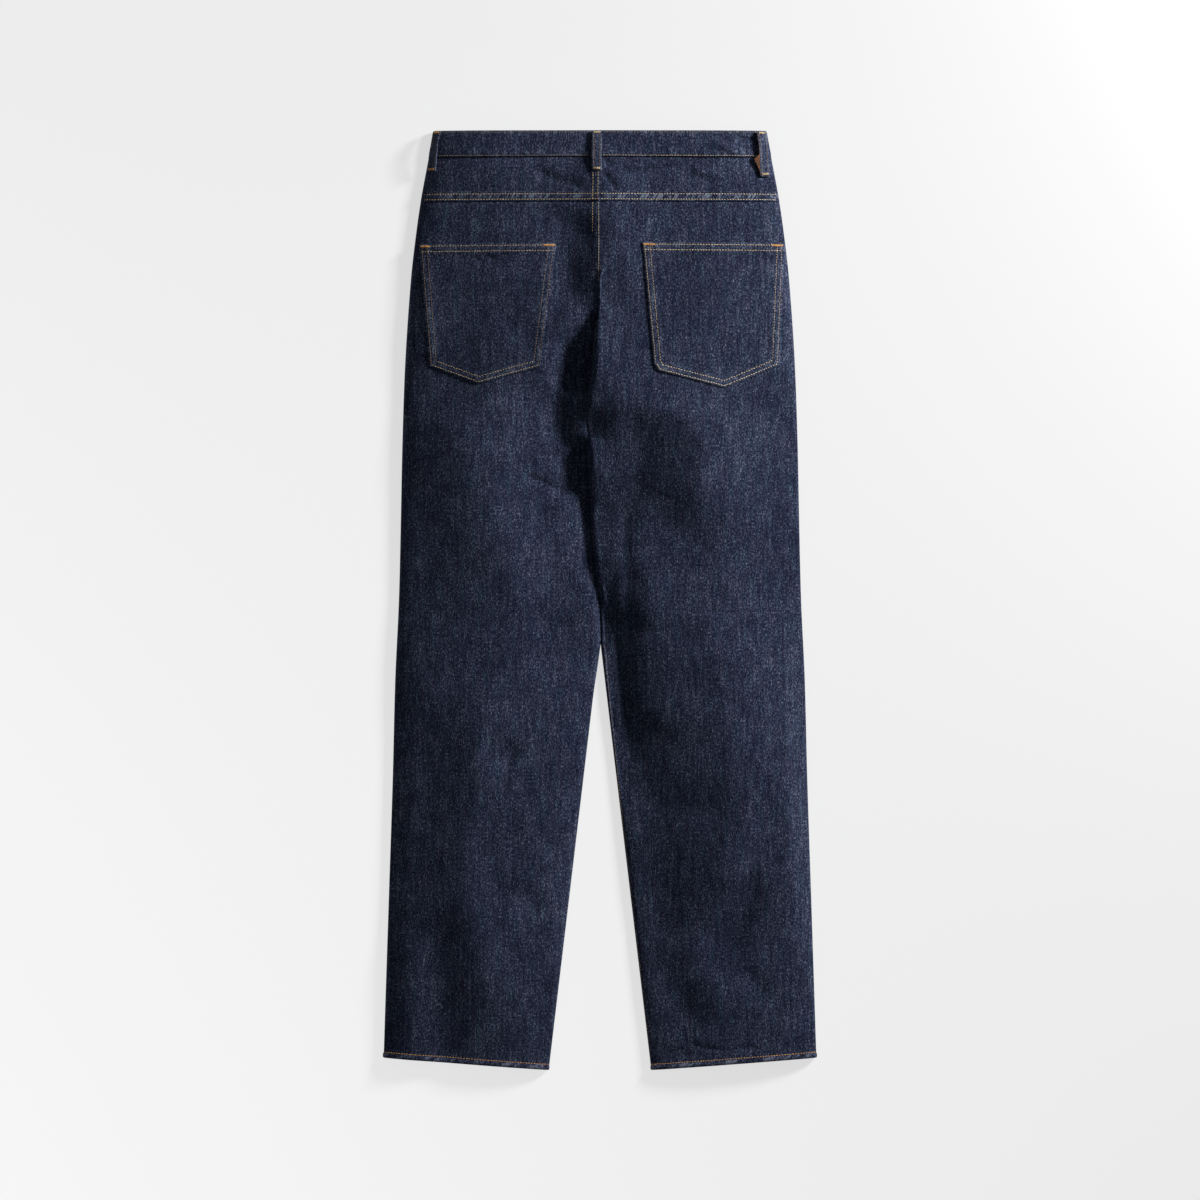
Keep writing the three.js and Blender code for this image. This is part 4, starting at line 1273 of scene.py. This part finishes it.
for side in (LEFT, RIGHT):
    pocket_layer = named("back_pocket", side)
    side_thread, foot_thread, mouth_thread, yoke_thread = THREADS[side]
    outline = pocket_outline(side)
    left, right = outline[0], outline[1]
    rows, foot_rows, mouth_rows = [], [], []
    for off in POCKET_SEWN:
        corners = inset(outline, off)
        top_right = (corners[1][0] + (0 if off < 2 else 0.6), right[1] + 1.5)
        rows.append(sewing_row(pocket_layer, [top_right, corners[2]], to_end=False))
        top_left = (corners[0][0], left[1] + 1.5)
        rows.append(sewing_row(pocket_layer, [corners[-1], top_left], to_end=False))
        foot_rows.append(sewing_row(pocket_layer, corners[2:], to_end=False))
    sewn(named("stitches_pocket", side), rows, side_thread, wide=0.62)
    sewn(named("stitches_pocket_foot", side), foot_rows, foot_thread, wide=FOOT_WIDE[side])
    corners = inset(outline, 1.2)
    for off in MOUTH_SEWN:
        ends = [(corners[0][0] + 0.3, left[1] + off), (corners[1][0] - 0.3, right[1] + off)]
        mouth_rows.append(sewing_row(pocket_layer, ends, to_end=False))
    sewn(named("stitches_pocket_mouth", side), mouth_rows, mouth_thread, wide=0.8)
    bars = tack(
        pocket_layer, left[0] + 0.8, left[0] + LEFT_TACK_LONG[side], left[1] + 1.0, left[1] + 3.1, 22,
    )
    bars += tack(
        pocket_layer, right[0] - RIGHT_TACK_LONG, right[0] - 0.8, right[1] + 1.0, right[1] + 3.1, 24,
    )
    tacks(named("tacks_pocket", side), bars, ORANGE)
    reach = float(along(SECTIONS, 1, 75)) - 2.5
    yoke_rows = [
        sewing_row(named("yoke", side), [(side * reach, level), (side * 0.6, level)])
        for level in YOKE_SEWN
    ]
    sewn(named("stitches_yoke", side), yoke_rows, yoke_thread, wide=0.9, tall=0.55)
    sewn(named("stitches_hem", side), [layers[named("hem", side)]], ORANGE, wide=0.8)

seat_rows = [
    sewing_row("yoke_left", [(-2.2, 44), (-2.5, 79.5)]),
    sewing_row("yoke_left", [(-8.0, 44), (-8.3, 79.5)]),
    sewing_row("back_left", [(-2.0, 82), (-1.6, 110), (-1.8, 172)]),
    sewing_row("back_left", [(-8.3, 82), (-8.6, 116)]),
]
sewn("stitches_seat", seat_rows, GOLD)

inseam_down = np.linspace(LEGS_PART + 4, 1040, 12)
inseam_x = back_inner_edge(RIGHT, inseam_down)
inseam_x = inseam_x + np.interp(inseam_down, [590, 680, 760], [3.0, 2.6, 1.3])
inseam_row = sewing_row("back_right", np.stack([inseam_x, inseam_down], axis=1))
sewn("stitches_inseam", [inseam_row], TAN, wide=0.5)

# Front: twin rows on the fly, the scooped mouths and the rise, and rows along the band.
for side in (LEFT, RIGHT):
    scoops = []
    for off in SCOOP_SEWN:
        down = BAND_DEEP + 1 + (SCOOP_DEEP + off) * np.sin(np.linspace(0, math.pi / 2, 40))
        x = scoop_x(side, down, off)
        kept = (side * (side_edge(side, down) - x) > 2.5) & (down < BAND_DEEP + SCOOP_DEEP + off)
        path = np.stack([x, down], axis=1)[kept]
        scoops.append(evened(sewing_row(named("front", side), path)))
    sewn(named("stitches_scoop", side), scoops, GOLD)
fly_rows = []
for off in FLY_SEWN:
    turn = np.linspace(0, math.pi / 2, 16)
    bend = np.stack([-2.0 - (off - 2.0) * np.cos(turn), 130 + (off + 2.0) * np.sin(turn)], axis=1)
    fly_rows.append(sewing_row("front_left", [(-off, BAND_DEEP + 1), (-off, 100), *bend]))
rise_down = np.linspace(176, CROTCH - 10, 20)
for off in RISE_SEWN:
    rise = np.stack([front_inner_edge(LEFT, rise_down) - off, rise_down], axis=1)
    fly_rows.append(sewing_row("front_left", rise))
sewn("stitches_fly", fly_rows, GOLD)


def band_row(layer, x0, x1, down0, down1=None):
    """A straight row on the waistband, level unless a second height is given."""
    return sewing_row(layer, [(x0, down0), (x1, down0 if down1 is None else down1)])


sewn("stitches_band_front", [
    band_row("band_left_front", -BAND_HALF, 16, FRONT_FOOT_SEWN),
    band_row("band_left_front", -BAND_HALF + 6, 16, BAND_TOP_SEWN),
    band_row("band_left_front", 16, 16, BAND_TOP_SEWN, FRONT_FOOT_SEWN),
    band_row("band_right_front", 19, BAND_HALF, FRONT_FOOT_SEWN),
    band_row("band_right_front", 19, BAND_HALF - 6, BAND_TOP_SEWN),
], GOLD)
left_foot = band_row("waistband", -BAND_HALF, -10, BAND_FOOT_SEWN)
sewn("stitches_band_left", [left_foot], TAN, wide=0.6, tall=0.35)
right_foot = band_row("waistband", 3, BAND_HALF, BAND_FOOT_SEWN)
sewn("stitches_band_right", [right_foot], GOLD, wide=0.65, tall=0.4)
sewn("stitches_band_top", [
    band_row("waistband", -BAND_HALF + 6, -10, BAND_TOP_SEWN),
    band_row("waistband", 3, BAND_HALF - 6, BAND_TOP_SEWN),
], TAN, wide=0.6, tall=0.35)

# Belt loops: two rows down each, and a bar tack at either end. A loop is 16 steps wide.
for name in ("belt_loop_back", "belt_loop_side_left", "belt_loop_side_right",
             "belt_loop_front_left", "belt_loop_front_right"):
    outer, normals = layers[name]
    widest, lowest = outer.shape[1] - 1, len(outer)
    rows, bars = [], []
    for column in np.array([3, 13]) * widest / 16:
        at = np.linspace(3, lowest - 4, 30)
        rows.append(on_grid(outer, normals, at, np.full(30, float(column))))
    sewn(f"stitches_{name}", rows, TAN, wide=0.6, tall=0.35)
    for start in (1.0, lowest - 5.5):
        for k in range(15):
            j = (np.array([2.0, 2.5, 3.0, 3.5]) + k * 0.72) * widest / 16
            i = start + (0.4 if k % 2 else 2.6) + np.linspace(0, 2.4 if k % 2 else -2.4, 4)
            bars.append(on_grid(outer, normals, i, j))
    tacks(f"tacks_{name}", bars, ORANGE if "side_left" in name else GOLD)

# ---------------------------------------------------------------- camera, light and floor

CAMERA_LENS = 200
CAMERA_PLACE = (0, 0.0006, 7.602)
SKY_COLOUR, SKY_STRENGTH = (0.97, 0.98, 1.0, 1), 0.16
FLOOR_HALF = 4
FLOOR_GREY = (0.30, 0.30, 0.30, 1)
# The floor's glow: at the middle, the change per metre along x and y, and the least.
GLOW_MIDDLE, GLOW_X, GLOW_Y, GLOW_LEAST = 0.645, -0.142, -0.094, 0.52

scene = bpy.context.scene
camera_data = bpy.data.cameras.new("camera")
camera_data.lens = CAMERA_LENS
camera_data.sensor_width = 36
camera = bpy.data.objects.new("camera", camera_data)
camera.location = CAMERA_PLACE
scene.collection.objects.link(camera)
scene.camera = camera
scene.view_settings.view_transform = "Standard"

world = bpy.data.worlds.new("studio")
world.use_nodes = True
background = world.node_tree.nodes["Background"]
fill(world.node_tree, background, {"Color": SKY_COLOUR, "Strength": SKY_STRENGTH})
scene.world = world


def softbox(azimuth, elevation, away, size, watts):
    """A square light beyond the upper right of the picture, turned to face the garment."""
    data = bpy.data.lights.new("softbox", "AREA")
    data.energy = watts
    data.size = size
    light = bpy.data.objects.new("softbox", data)
    turn, tilt = math.radians(azimuth), math.radians(elevation)
    light.location = (
        away * math.cos(tilt) * math.cos(turn), away * math.cos(tilt) * math.sin(turn),
        away * math.sin(tilt),
    )
    light.rotation_euler = (0, math.radians(90 - elevation), turn)
    scene.collection.objects.link(light)


softbox(azimuth=34, elevation=20, away=2.75, size=0.5, watts=128)

floor_mesh = bpy.data.meshes.new("floor")
floor_corners = [(x * FLOOR_HALF, y * FLOOR_HALF, 0) for x, y in ((-1, -1), (1, -1), (1, 1), (-1, 1))]
floor_mesh.from_pydata(floor_corners, [], [(0, 1, 2, 3)])
floor = bpy.data.objects.new("floor", floor_mesh)
scene.collection.objects.link(floor)
floor_material, floor_tree, floor_shader = new_material("floor_pale", 0.9)
# The glow fades towards the softbox, so that the floor looks evenly pale.
floor_place = node(floor_tree, "SeparateXYZ", {0: node(floor_tree, "TexCoord").outputs["Object"]})
glow = maths(floor_tree, "MULTIPLY_ADD", floor_place.outputs[0], GLOW_X, GLOW_MIDDLE)
glow = maths(floor_tree, "MULTIPLY_ADD", floor_place.outputs[1], GLOW_Y, glow)
fill(floor_tree, floor_shader, {
    "Base Color": FLOOR_GREY, "Specular IOR Level": 0.0, "Emission Color": (1, 1, 1, 1),
    "Emission Strength": maths(floor_tree, "MAXIMUM", glow, GLOW_LEAST),
})
floor_mesh.materials.append(floor_material)
